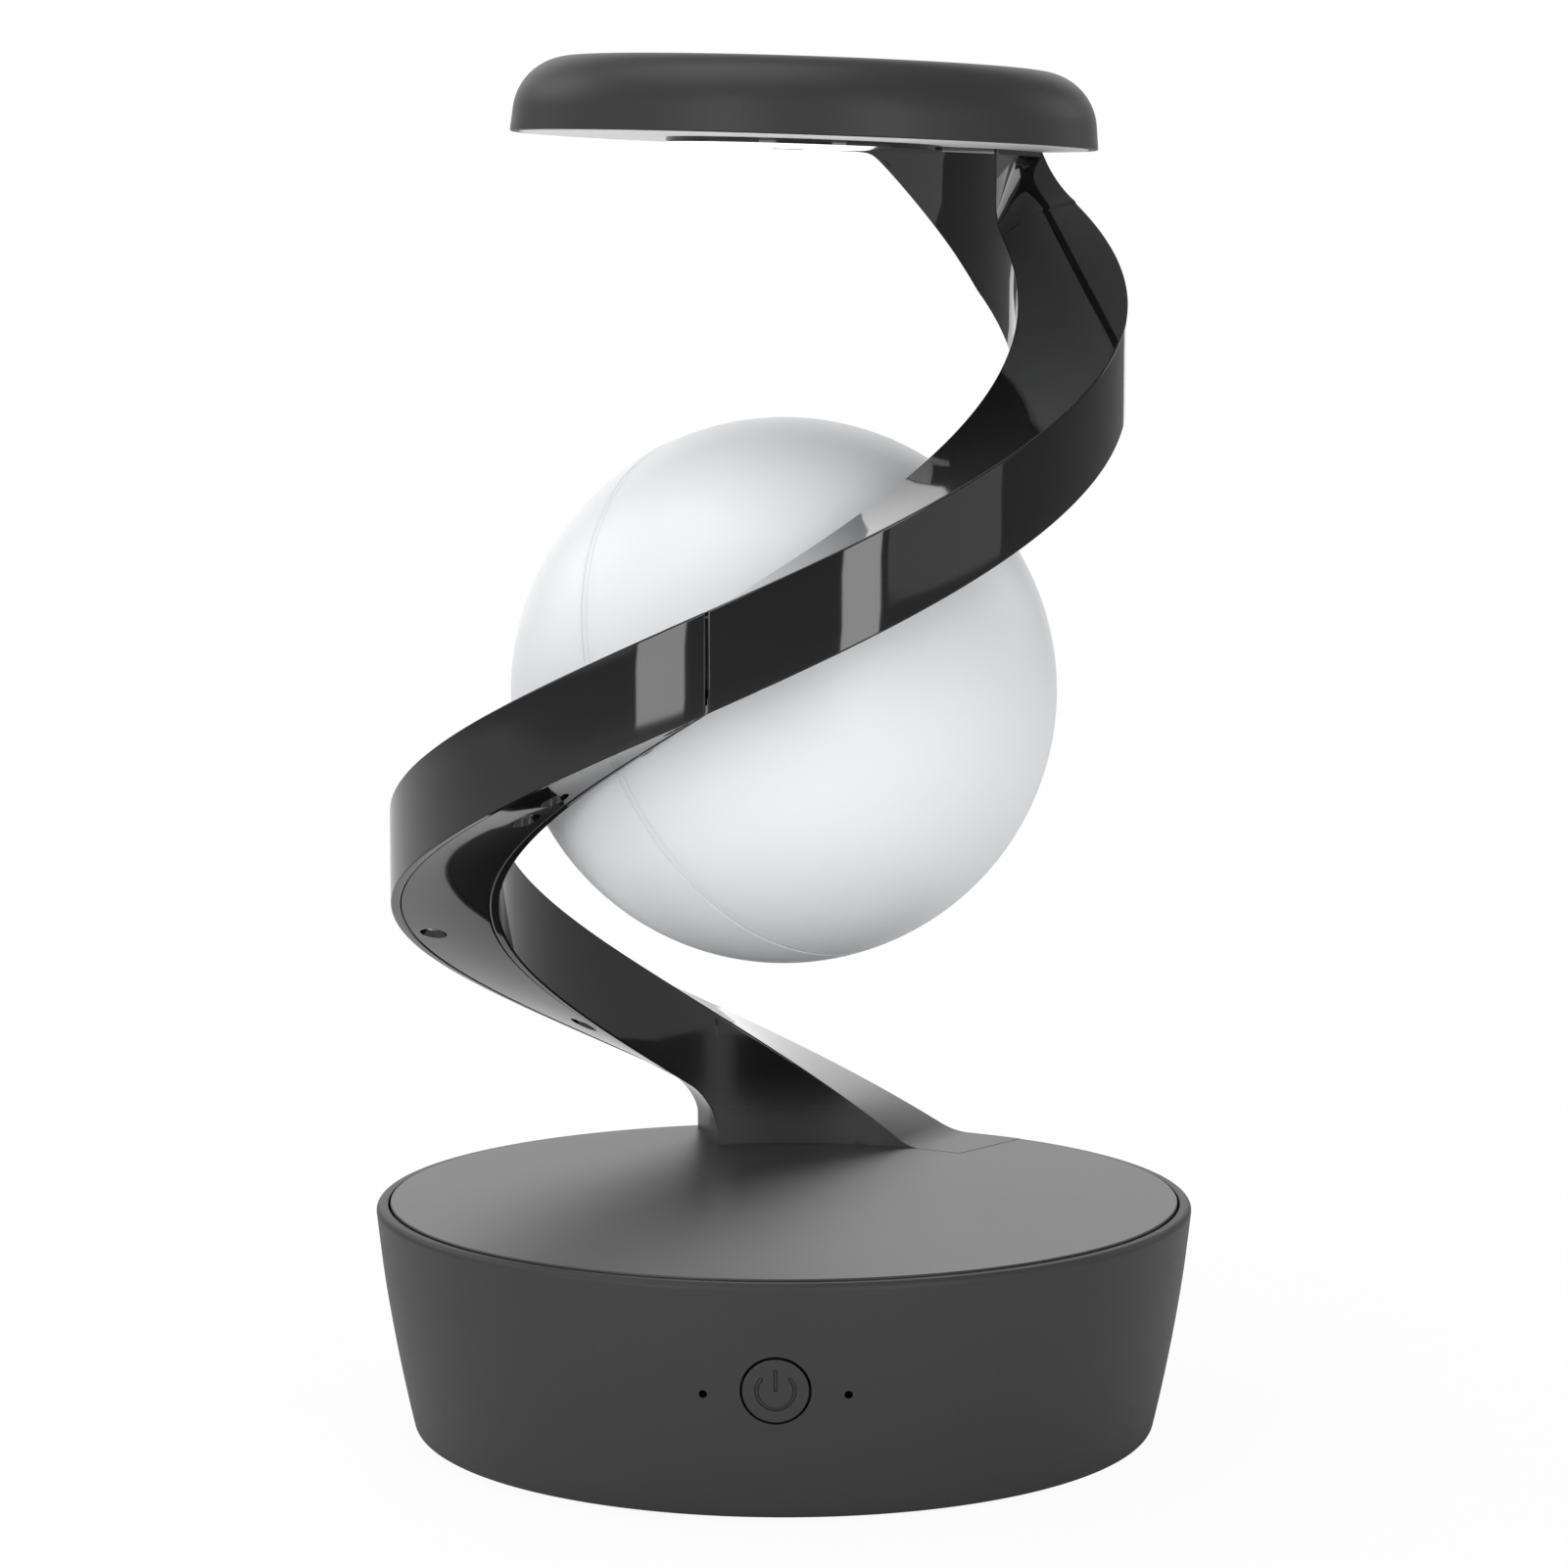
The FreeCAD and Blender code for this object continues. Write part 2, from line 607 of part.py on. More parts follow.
def slot_outline(sketch, half_run, radius, level):
    """Slot along the sketch's X axis with round ends, sized by expressions."""
    import Sketcher
    run, end, height = number(half_run), number(radius), number(level)
    quarter = math.pi / 2
    arcs = [sketch.addGeometry(Part.ArcOfCircle(Part.Circle(Vector(side * run, height, 0), Vector(0, 0, 1), end),
                                                -side * quarter, side * quarter if side > 0 else 3 * quarter),
                               False) for side in (1,)]
    left = Part.ArcOfCircle(Part.Circle(Vector(-run, height, 0), Vector(0, 0, 1), end), quarter, 3 * quarter)
    arcs.append(sketch.addGeometry(left, False))
    top = sketch.addGeometry(Part.LineSegment(Vector(run, height + end, 0), Vector(-run, height + end, 0)), False)
    low = sketch.addGeometry(Part.LineSegment(Vector(-run, height - end, 0), Vector(run, height - end, 0)), False)
    for pair in ((arcs[0], 2, top, 1), (top, 2, arcs[1], 1), (arcs[1], 2, low, 1), (low, 2, arcs[0], 1)):
        sketch.addConstraint(Sketcher.Constraint("Tangent", *pair))
    pin_point(sketch, arcs[0], 3, "X", half_run)
    pin_point(sketch, arcs[0], 3, "Y", level)
    pin_point(sketch, arcs[1], 3, "X", f"-1 * ({half_run})")
    held = sketch.addConstraint(Sketcher.Constraint("Radius", arcs[0], end))
    sketch.setExpression(f"Constraints[{held}]", bound(radius))


def make_bottom_cover():
    """Disc that closes the base, with the ring groove, screw holes and board posts."""
    body = new_body("bottom_cover")
    revolve(body, [
        ("0", "pad_standoff"),
        ("ring_inner - 0.2", "pad_standoff"),
        ("ring_inner - 0.2", "pad_standoff + ring_sink"),
        ("ring_outer + 0.2", "pad_standoff + ring_sink"),
        ("ring_outer + 0.2", "pad_standoff"),
        ("cover_radius", "pad_standoff"),
        ("cover_radius", "flange_height"),
        ("0", "flange_height"),
    ])
    spot = ("cover_screw_circle * cos(45)", "cover_screw_circle * sin(45)")
    post = new_sketch(body, "XY_Plane", "flange_height - 0.01")
    post_x = f"post_circle * cos({POST_ANGLES[0]})"
    post_y = f"post_circle * sin({POST_ANGLES[0]})"
    circle(post, post_x, post_y, "post_radius")
    around(body, pad(body, post, "board_height - flange_height + 0.01"), len(POST_ANGLES))
    pilot = new_sketch(body, "XY_Plane", "board_height")
    circle(pilot, post_x, post_y, "small_screw_radius + pilot_gap")
    around(body, drill(body, pilot, "small_screw_length"), len(POST_ANGLES))
    shank = new_sketch(body, "XY_Plane", "pad_standoff")
    circle(shank, *spot, "screw_radius + screw_hole_gap")
    around(body, drill(body, shank, "flange_height", onward=True), len(SCREW_ANGLES))
    sink = new_sketch(body, "XY_Plane", "pad_standoff")
    circle(sink, *spot, "screw_head_radius - 0.55")
    around(body, drill(body, sink, "ring_sink + 0.9", onward=True), len(SCREW_ANGLES))
    keep(body, "bottom_cover")


def make_anti_slip_ring():
    """Soft ring glued into the groove of the bottom cover; the lamp rests on it."""
    body = new_body("anti_slip_ring")
    revolve(body, [
        ("ring_inner", "0"),
        ("ring_outer", "0"),
        ("ring_outer", "pad_standoff + ring_sink"),
        ("ring_inner", "pad_standoff + ring_sink"),
    ])
    soften(body, "ring_sink * 0.8", ring_edge(size("ring_outer"), 0))
    keep(body, "anti_slip_ring")


def make_bottom_screws():
    """Flat screws under the anti-slip ring."""
    length = size("screw_length")
    level = size("pad_standoff") + size("ring_sink") + 0.9
    head = size("screw_head_radius") - 0.8
    shapes = [screw_at(polar(size("cover_screw_circle"), turn, level), Vector(0, 0, 1),
                       size("screw_radius"), length, head, 0.85) for turn in SCREW_ANGLES]
    feature_of("bottom_screws_form", Part.makeCompound(shapes), "bottom_cover_screws")


def make_ballast():
    """Steel plate that keeps the lamp upright, with holes for the board posts."""
    body = new_body("ballast_plate")
    revolve(body, [
        ("ballast_window", "flange_height"),
        ("ballast_radius", "flange_height"),
        ("ballast_radius", "flange_height + ballast_thickness"),
        ("ballast_window", "flange_height + ballast_thickness"),
    ])
    hole = new_sketch(body, "XY_Plane", "flange_height")
    circle(hole, f"post_circle * cos({POST_ANGLES[0]})", f"post_circle * sin({POST_ANGLES[0]})",
           "post_radius + post_hole_gap")
    around(body, drill(body, hole, "ballast_thickness", onward=True), len(POST_ANGLES))
    soften(body, "deck_bevel",
           ring_edge(size("ballast_radius"), size("flange_height") + size("ballast_thickness")), "Chamfer")
    keep(body, "ballast_plate")


def make_main_board():
    """Round driver board on the posts, with a cable window and notches that pass the deck lugs."""
    body = new_body("main_board")
    revolve(body, [
        ("board_window", "board_height"),
        ("board_radius", "board_height"),
        ("board_radius", "board_height + board_thickness"),
        ("board_window", "board_height + board_thickness"),
    ])
    hole = new_sketch(body, "XY_Plane", "board_height")
    circle(hole, f"post_circle * cos({POST_ANGLES[0]})", f"post_circle * sin({POST_ANGLES[0]})",
           "small_screw_radius + screw_hole_gap")
    around(body, drill(body, hole, "board_thickness", onward=True), len(POST_ANGLES))
    notch = new_sketch(body, "XY_Plane", "board_height")
    circle(notch, "deck_screw_circle * cos(45)", "deck_screw_circle * sin(45)", "boss_radius + 2.2")
    around(body, drill(body, notch, "board_thickness", onward=True), len(SCREW_ANGLES))
    keep(body, "main_board")


def make_board_components():
    """Driver chip, inductor, capacitors and cable header standing on the main board."""
    level = size("board_height") + size("board_thickness")
    pieces = [
        block(7.0, 7.0, 0.9, Vector(24, 22, level)),
        block(10.0, 10.0, 4.2, Vector(-26, 14, level)),
        block(5.0, 4.0, 0.8, Vector(8, -34, level)),
        block(12.0, 4.5, 5.8, Vector(0, 24, level)),
        rod(Vector(-12, 30, level), Vector(0, 0, 1), 3.15, 7.2),
        rod(Vector(-4, 33, level), Vector(0, 0, 1), 3.15, 7.2),
        rod(Vector(12, 32, level), Vector(0, 0, 1), 4.0, 8.0),
    ]
    feature_of("board_components_form", Part.makeCompound(pieces), "board_components")


def make_board_screws():
    """Screws that hold the main board on its posts."""
    level = size("board_height") + size("board_thickness")
    shapes = [screw_at(polar(size("post_circle"), turn, level), Vector(0, 0, -1),
                       size("small_screw_radius"), size("small_screw_length") - size("board_thickness"),
                       size("small_head_radius"), size("small_head_height")) for turn in POST_ANGLES]
    feature_of("board_screws_form", Part.makeCompound(shapes), "board_screws")


def make_inlet():
    """USB-C inlet on the rear edge of the board: folded shell and its tongue."""
    level = number(inlet_level())
    reach = size("inlet_reach")
    shell = stadium(size("inlet_width"), size("inlet_rise"), reach, level, size("inlet_depth"))
    inner = stadium(size("inlet_width") - 2 * size("inlet_wall"), size("inlet_rise") - 2 * size("inlet_wall"),
                    reach + 1, level, size("inlet_depth"))
    tongue = Part.makeBox(size("tongue_width"), size("inlet_depth") - 1.2, size("tongue_thickness"),
                          Vector(-size("tongue_width") / 2, reach - size("inlet_depth"),
                                 level - size("tongue_thickness") / 2))
    feature_of("inlet_form", shell.cut(inner).fuse(tongue).removeSplitter(), "usb_c_inlet")


def stadium(width, rise, reach, level, depth):
    """Rounded-slot prism whose open end lies at y = reach."""
    radius = rise / 2
    half = width / 2 - radius
    top = Part.LineSegment(Vector(-half, reach, level + radius), Vector(half, reach, level + radius))
    right = Part.Arc(Vector(half, reach, level + radius), Vector(half + radius, reach, level),
                     Vector(half, reach, level - radius))
    low = Part.LineSegment(Vector(half, reach, level - radius), Vector(-half, reach, level - radius))
    left = Part.Arc(Vector(-half, reach, level - radius), Vector(-half - radius, reach, level),
                    Vector(-half, reach, level + radius))
    wire = Part.Wire([side.toShape() for side in (top, right, low, left)])
    return Part.Face(wire).extrude(Vector(0, -depth, 0))


def make_power_button():
    """Round cap that follows the wall, with its flange behind the wall."""
    body = new_body("button_skin")
    revolve(body, [
        ("button_flange_reach", "pad_standoff"),
        ("foot_radius + button_proud", "pad_standoff", "side_bow"),
        ("rim_radius + button_proud", "rim_height"),
        ("button_flange_reach", "rim_height"),
    ])
    stem_start = size("button_flange_thickness") - size("button_flange_reach")
    stem = cylinder("button_stem", "button_radius", "rim_radius - button_flange_reach + button_flange_thickness",
                    Vector(0, stem_start, size("button_height")), Vector(0, -1, 0))
    cap = DOC.addObject("Part::Common", "button_cap")
    cap.Base = body
    cap.Tool = stem
    flange = cylinder("button_flange", "button_flange_radius", "button_flange_thickness",
                      Vector(0, stem_start, size("button_height")), Vector(0, -1, 0))
    DOC.recompute()
    keep(fused("button_whole", [cap, flange]), "power_button")


def button_board_front():
    """Distance from the axis to the front of the button board."""
    return (size("button_flange_reach") - size("button_flange_thickness") - size("button_travel") - 0.2
            - size("plunger_length") - size("switch_depth"))


def make_button_board():
    """Upright board that stands on the main board behind the button."""
    front = button_board_front()
    low = size("board_height") + size("board_thickness")
    middle = Vector(0, -front + size("board_thickness") / 2, low)
    feature_of("button_board_form", block(size("button_board_width"), size("board_thickness"),
                                          size("button_board_rise"), middle), "button_board")


def make_button_switch():
    """Tactile switch: its body on the board and its plunger towards the button."""
    front, side = button_board_front(), size("switch_side")
    middle = Vector(0, -front - size("switch_depth") / 2, size("button_height") - side / 2)
    case = block(side, size("switch_depth"), side, middle)
    plunger = rod(Vector(0, -front - size("switch_depth"), size("button_height")), Vector(0, -1, 0),
                  size("plunger_radius"), size("plunger_length"))
    feature_of("button_switch_form", case.fuse(plunger).removeSplitter(), "button_switch")


def make_light_pipes():
    """Two clear pins that carry the indicator light to the pin holes."""
    level = size("button_height") - size("pin_drop")
    reach = math.sqrt(wall_radius(level) ** 2 - size("pin_spacing") ** 2) - size("pin_recess")
    shapes = [rod(Vector(side * size("pin_spacing"), -button_board_front(), level), Vector(0, -1, 0),
                  size("pin_radius"), reach - button_board_front()) for side in (-1, 1)]
    feature_of("light_pipes_form", Part.makeCompound(shapes), "indicator_light_pipes")


def make_deck_screws():
    """Screws from below through the wall lugs into the deck bosses."""
    level = deck_seat() - size("deck_boss_depth") - size("lug_thickness")
    shapes = [base_screw(polar(size("deck_screw_circle"), turn, level), Vector(0, 0, 1))
              for turn in SCREW_ANGLES]
    feature_of("deck_screws_form", Part.makeCompound(shapes), "deck_screws")


# ---------------------------------------------------------------- helical arm

def arm_outer(angle):
    """Outer radius of the arm at an angle."""
    return size("arm_radius") - size("arm_taper") * (angle - 180) / 180


def arm_top(angle):
    """Height of the arm's top surface at an angle."""
    turn = (angle - 180) / 180
    return (size("arm_height") + size("arm_rise") * turn + size("arm_bow") * turn ** 2
            + size("arm_ease") * turn ** 3)


def arm_spot(angle, inset, height):
    """Point of the arm: inset from the outer wall, at a height given by a function."""
    radius = arm_outer(angle) - inset
    turn = math.radians(angle)
    x = size("arm_centre_x") - radius * math.sin(turn)
    y = size("arm_centre_y") + radius * math.cos(turn)
    return Vector(x, y, height(angle, x, y))


def below(drop):
    """Height function: a distance under the arm's top surface."""
    return lambda angle, x, y: arm_top(angle) - drop


def level(height):
    """Height function: one flat level."""
    return lambda angle, x, y: height


def under_head(drop):
    """Height function: a distance under the tilted underside of the head."""
    roll, pitch = math.tan(math.radians(size("head_roll"))), math.tan(math.radians(size("head_pitch")))
    return lambda angle, x, y: (size("head_level") - (x - size("head_x")) * roll
                                - (y - size("head_y")) * pitch - drop)


def arm_curve(angles, places, inset, height):
    """Curve along the helix through the given angles, reached at the given places of its parameter."""
    curve = Part.BSplineCurve()
    curve.interpolate(Points=[arm_spot(angle, inset, height) for angle in angles], Parameters=places)
    return curve


def running_length(angles, inset, height):
    """Length along the helix, from the first angle to each angle."""
    spots = [arm_spot(angle, inset, height) for angle in angles]
    places = [0.0]
    for before, after in zip(spots, spots[1:]):
        places.append(places[-1] + (after - before).Length)
    return places


def even_angles(first, last, step=EDGE_STEP):
    """Evenly spaced angles between two angles."""
    count = max(2, int(math.ceil((last - first) / step)))
    return [first + (last - first) * n / count for n in range(count + 1)]


def rounding_angles(first, span, count=8):
    """Angles that crowd towards the first one, as the points of a rounding do."""
    return [first + span * (1 - math.cos(math.pi / 2 * n / count)) for n in range(count + 1)]


def arm_band(first, last, insets, top, bottom, angles=None):
    """Solid that follows the helix between two angles, two insets and two height functions."""
    outer, inner = insets
    angles = angles or even_angles(first, last)
    places = running_length(angles, outer, bottom)
    curves = {(side, rim): arm_curve(angles, places, inset, height)
              for side, inset in (("out", outer), ("in", inner))
              for rim, height in (("top", top), ("low", bottom))}
    faces = [curves[a].makeRuledSurface(curves[b]).toShape() for a, b in (
        (("out", "top"), ("in", "top")), (("in", "top"), ("in", "low")),
        (("in", "low"), ("out", "low")), (("out", "low"), ("out", "top")))]
    for angle in (first, last):
        corners = [arm_spot(angle, inset, height) for inset, height in (
            (outer, top), (inner, top), (inner, bottom), (outer, bottom))]
        faces.append(Part.Face(Part.makePolygon(corners + corners[:1])))
    shell = Part.makeShell(faces)
    shell.sewShape()
    solid = Part.makeSolid(shell.Shells[0])
    if solid.Volume < 0:
        solid.reverse()
    return solid


def cover_seat_drop():
    """Depth of the ledge that carries an arm cover."""
    return size("arm_depth") - size("cover_recess") - size("cover_thickness")


def channel(first, last, cover_first, cover_last, rib_angles):
    """Hollow of an arm: cable channel, the wider cover recess and the screw blocks left standing."""
    wall, width = size("arm_wall"), size("arm_width")
    inner = wall + size("arm_ledge")
    seat = cover_seat_drop()
    hollow = arm_band(first, last, (inner, width - inner), below(wall), below(seat + 0.01))
    for angle in rib_angles:
        rib = arm_band(angle - size("rib_span"), angle + size("rib_span"),
                       (size("rib_inset"), width), below(0), below(size("arm_depth")))
        hollow = hollow.cut(rib)
    recess = arm_band(cover_first, cover_last, (wall, width - wall), below(seat), below(size("arm_depth") + 2))
    return hollow, recess


def cover_bores(angles, radius, high, low):
    """Upright bores at the cover screws, from a height over the cover's seat to a depth under it."""
    shapes = []
    for angle in angles:
        seat = arm_spot(angle, size("screw_inset"), below(cover_seat_drop()))
        shapes.append(rod(seat - Vector(0, 0, low), Vector(0, 0, 1), radius, high + low))
    return Part.makeCompound(shapes)


def arm_cover(first, last, angles):
    """Cover of an arm channel with sunk screw holes."""
    play, wall, thickness = size("cover_clearance"), size("arm_wall"), size("cover_thickness")
    seat = cover_seat_drop()
    solid = arm_band(first, last, (wall + play, size("arm_width") - wall - play),
                     below(seat), below(seat + thickness))
    holes = cover_bores(angles, size("small_screw_radius") + 0.2, thickness, 2 * thickness)
    sinks = cover_bores(angles, size("small_head_radius") + 0.2, -thickness / 2, 2 * thickness)
    return solid.cut(holes).cut(sinks)


def cover_screws(angles):
    """Screws of an arm cover with their heads in the sunk holes."""
    shapes = []
    for angle in angles:
        spot = arm_spot(angle, size("screw_inset"), below(cover_seat_drop() + size("cover_thickness") / 2))
        shapes.append(small_screw(spot, Vector(0, 0, 1)))
    return Part.makeCompound(shapes)


def pilot_bores(angles):
    """Pilot holes of the cover screws in the screw blocks."""
    return cover_bores(angles, size("small_screw_radius") + size("pilot_gap"), size("small_screw_length"), 1.5)


def magnet_angle():
    """Angle at which the middle of the arm is level with the ball's centre."""
    low, high = 90.0, 200.0
    for _step in range(50):
        middle = (low + high) / 2
        if arm_top(middle) - size("arm_depth") / 2 < size("ball_height"):
            low = middle
        else:
            high = middle
    return low


def magnet_axis():
    """Ball centre, and the horizontal direction from it to the magnet in the arm."""
    centre = Vector(0, 0, size("ball_height"))
    target = arm_spot(magnet_angle(), size("arm_width"), level(size("ball_height")))
    return centre, (target - centre).normalize()


def along_magnet(distance):
    """Point on the magnet axis at a distance from the ball's centre."""
    centre, away = magnet_axis()
    return centre + away * distance


def magnet_pocket():
    """Distances from the ball's centre to the front and the back of the magnet's pocket."""
    front = size("ball_radius") + size("pad_gap") + size("pad_thickness")
    return front, front + size("magnet_thickness") + 2 * size("magnet_gap")


def make_deck_plate():
    """Round deck with its bevel and the bosses under it."""
    body = new_body("deck_plate")
    top, seat = "rim_height - deck_drop", "rim_height - deck_drop - deck_thickness"
    revolve(body, [("0", seat), ("deck_radius", seat), ("deck_radius", top), ("0", top)])
    soften(body, "deck_bevel", ring_edge(size("deck_radius"), deck_top()), "Chamfer")
    boss = new_sketch(body, "XY_Plane", seat + " - deck_boss_depth")
    x, y = "deck_screw_circle * cos(45)", "deck_screw_circle * sin(45)"
    circle(boss, x, y, "boss_radius")
    around(body, pad(body, boss, "deck_boss_depth + 0.01"), len(SCREW_ANGLES))
    pilot = new_sketch(body, "XY_Plane", seat + " - deck_boss_depth")
    circle(pilot, x, y, "screw_radius + pilot_gap")
    around(body, drill(body, pilot, "deck_boss_depth", onward=True), len(SCREW_ANGLES))
    return body


def inner_corner(solid, ends, radius):
    """Concave fillet on the edge of a solid that runs between two points."""
    middle = (ends[0] + ends[1]) * 0.5
    reach = (ends[1] - ends[0]).Length
    edge = min(solid.Edges, key=lambda one: abs(one.Length - reach) + (one.BoundBox.Center - middle).Length)
    return solid.makeFillet(radius, [edge])


def foot_rounding(angle, x, y):
    """Height function of the concave rounding between the foot's end face and the arm above it."""
    radius = size("end_round")
    run = math.radians(angle - size("foot_face")) * (size("arm_radius") - size("arm_width") / 3)
    short = max(radius - run, 0.0)
    return arm_top(angle) - size("arm_depth") - radius + math.sqrt(radius ** 2 - short ** 2)


def lower_arm_shape():
    """Lower arm: fairs out of the deck, carries the magnet boss and ends at the seam."""
    start, seam, foot = size("foot_start"), size("seam_angle"), size("foot_face")
    width, wall, depth = size("arm_width"), size("arm_wall"), size("arm_depth")
    footing = arm_band(start, foot, (0, width), below(0), level(deck_seat()))
    span = math.degrees(size("end_round") / (size("arm_radius") - width / 3))
    throat = rounding_angles(foot, span) + [foot + span * n for n in (1.35, 1.8, 2.4)]
    angles = throat + even_angles(foot + span * 3.2, seam)
    beam = arm_band(foot, seam, (0, width), below(0), foot_rounding, angles)
    solid = footing.fuse(beam)
    hollow, recess = channel(foot - 24, seam + 1, size("lower_cover_start"), seam + 1, LOWER_COVER_SCREWS)
    inner = wall + size("arm_ledge") + 0.3
    duct = arm_band(foot - 22, foot - 2, (inner, width - inner), below(wall + 1), level(deck_seat() - 8))
    solid = solid.cut(hollow).cut(recess).cut(duct)
    front, back = magnet_pocket()
    solid = solid.fuse(rod(along_magnet(front), magnet_axis()[1], size("magnet_boss"), back - front + 1.6))
    pocket = rod(along_magnet(front - 1), magnet_axis()[1], size("magnet_radius") + size("magnet_gap"),
                 1 + back - front)
    seat = rod(along_magnet(front - 2), magnet_axis()[1], size("magnet_boss") + size("cap_gap"), 2)
    return solid.cut(pocket).cut(seat).cut(pilot_bores(LOWER_COVER_SCREWS)), duct


def make_deck_with_lower_arm():
    """One moulding: the deck and the lower half of the helix."""
    arm, duct = lower_arm_shape()
    arm_item = feature_of("lower_arm_form", arm)
    duct_item = feature_of("deck_duct", duct)
    whole = cut("deck_and_arm_open", fused("deck_and_arm", [make_deck_plate(), arm_item]), duct_item)
    keep(whole, "deck_with_lower_arm")


def make_lower_cover():
    """Cover of the lower arm and its screws."""
    last = size("seam_angle") - size("cover_margin")
    back = magnet_pocket()[1] + 1.9
    boss = rod(along_magnet(size("ball_radius")), magnet_axis()[1], size("magnet_boss") + 0.3,
               back - size("ball_radius"))
    cover = arm_cover(size("lower_cover_start") + 0.3, last, LOWER_COVER_SCREWS).cut(boss)
    feature_of("lower_cover_form", cover, "lower_arm_cover")
    feature_of("lower_cover_screws_form", cover_screws(LOWER_COVER_SCREWS), "lower_cover_screws")


def make_magnet():
    """Disc magnet that can turn in its pocket, and the cap that closes the pocket."""
    away, front = magnet_axis()[1], magnet_pocket()[0]
    cap = rod(along_magnet(front - size("pad_thickness")), away, size("magnet_boss"), size("pad_thickness"))
    feature_of("magnet_cap_form", cap, "magnet_cap")
    disc = rod(along_magnet(front + size("magnet_gap")), away, size("magnet_radius"),
               size("magnet_thickness"))
    feature_of("arm_magnet_form", disc, "arm_magnet")


def top_face_plane():
    """Corner and direction of the upright end face under the head."""
    start = arm_spot(size("top_face_inner"), size("arm_width"), level(0))
    end = arm_spot(size("top_face_outer"), 0, level(0))
    return start, (end - start).normalize()


def behind_top_face():
    """Block of space on the far side of the top end face."""
    start, run = top_face_plane()
    normal = Vector(run.y, -run.x, 0)
    reach = 2 * size("rim_radius")
    box = Part.makeBox(reach, reach, reach, Vector(-reach / 2, 0, size("head_level") - reach / 2))
    box.Placement = Placement(start, Rotation(Vector(0, -1, 0), normal))
    return box


def head_place():
    """Placement of the head: its local origin is the middle of its underside."""
    tilt = Rotation(Vector(0, 1, 0), size("head_roll")).multiply(Rotation(Vector(1, 0, 0), -size("head_pitch")))
    return Placement(Vector(size("head_x"), size("head_y"), size("head_level")), tilt)


def in_head(spot):
    """Point given in the head's own frame."""
    return head_place().multVec(spot)


def head_up():
    """Direction square to the underside of the head."""
    return head_place().Rotation.multVec(Vector(0, 0, 1))


def neck_spots():
    """Feet of the cable neck and of the two studs, on the underside of the head."""
    angles = (size("neck_angle"), size("neck_angle") - size("stud_spread"),
              size("neck_angle") + size("stud_spread"))
    middle = size("arm_width") / 2
    return [arm_spot(angle, middle, under_head(0)) for angle in angles]


def upper_arm_shape():
    """Upper arm: channel, end block under the head, centre plate of the head and seam tongue."""
    start, seam = size("block_start"), size("seam_angle")
    width = size("arm_width")
    beam = arm_band(seam, start, (0, width), below(0), arm_under)
    block = arm_band(start, size("tail_end"), (0, width), under_head(-30), arm_under,
                     even_angles(start, size("tail_end"), 3.0))
    above = arm_band(start, size("top_face_outer") + 6, (-2, width + 2), under_head(-34), below(0),
                     even_angles(start, size("top_face_outer") + 6, 3.0))
    above = above.cut(behind_top_face())
    ends = [arm_spot(size("top_face_inner"), width, below(0)), arm_spot(size("top_face_outer"), 0, below(0))]
    block = inner_corner(block.cut(above).Solids[0], ends, size("top_round"))
    reach = 3 * size("rim_radius")
    over = Part.makeBox(reach, reach, reach, Vector(-reach / 2, -reach / 2, 0))
    over.Placement = head_place()
    solid = beam.fuse(block.cut(over))
    hollow, recess = channel(seam - 1, size("neck_angle") + 3, seam - 1, size("upper_cover_end"),
                             UPPER_COVER_SCREWS)
    solid = solid.cut(hollow).cut(recess).cut(pilot_bores(UPPER_COVER_SCREWS))
    return solid.fuse(centre_plate()).fuse(seam_tongue())


def arm_under(angle, x, y):
    """Height function of the arm's underside, which fairs into the centre plate of the head."""
    arm = arm_top(angle) - size("arm_depth")
    plate = under_head(size("plate_depth"))(angle, x, y)
    return (arm + plate - math.sqrt((arm - plate) ** 2 + size("plate_fairing") ** 2)) / 2


def centre_plate():
    """Dark plate in the middle of the head's underside, with its bridge to the arm."""
    depth, rise = size("plate_depth"), size("diffuser_recess")
    disc = Part.makeCylinder(size("plate_radius"), depth + rise, Vector(0, 0, -depth))
    sector = Part.makeCylinder(size("bridge_radius"), depth + rise, Vector(0, 0, -depth), Vector(0, 0, 1),
                               size("bridge_end") - size("bridge_start"))
    sector.rotate(Vector(0, 0, 0), Vector(0, 0, 1), size("bridge_start"))
    plate = disc.fuse(sector)
    plate.Placement = head_place()
    return plate


def seam_tongue():
    """Hollow tongue of the upper arm that plugs into the lower channel."""
    seam, width, wall = size("seam_angle"), size("arm_width"), size("tongue_wall")
    rim = size("arm_wall") + size("arm_ledge")
    side = rim + size("tongue_gap")
    top, low = size("arm_wall") + size("tongue_gap"), cover_seat_drop() - size("tongue_gap")
    collar = arm_band(seam, seam + 4, (rim - 0.2, width - rim + 0.2), below(top - 0.4), below(low))
    sleeve = arm_band(seam - size("tongue_span"), seam, (side, width - side), below(top), below(low))
    bore = arm_band(seam - size("tongue_span") - 1, seam + 5, (side + wall, width - side - wall),
                    below(top + wall), below(low + 1))
    return collar.fuse(sleeve).cut(bore)


def make_upper_arm():
    """Upper arm with the neck and studs that reach into the head."""
    up = head_up()
    neck, *studs = neck_spots()
    rise = size("chassis_height")
    solid = upper_arm_shape()
    solid = solid.fuse(rod(neck - up * 2, up, size("neck_radius"), rise + 2))
    for spot in studs:
        solid = solid.fuse(rod(spot - up * 2, up, size("stud_radius"), rise + 2))
    solid = solid.cut(rod(neck - up * 6, up, size("neck_bore"), rise + 8))
    for spot in studs:
        solid = solid.cut(rod(spot, up, size("small_screw_radius") + size("pilot_gap"), rise + 1))
    feature_of("upper_arm_form", solid, "upper_arm")


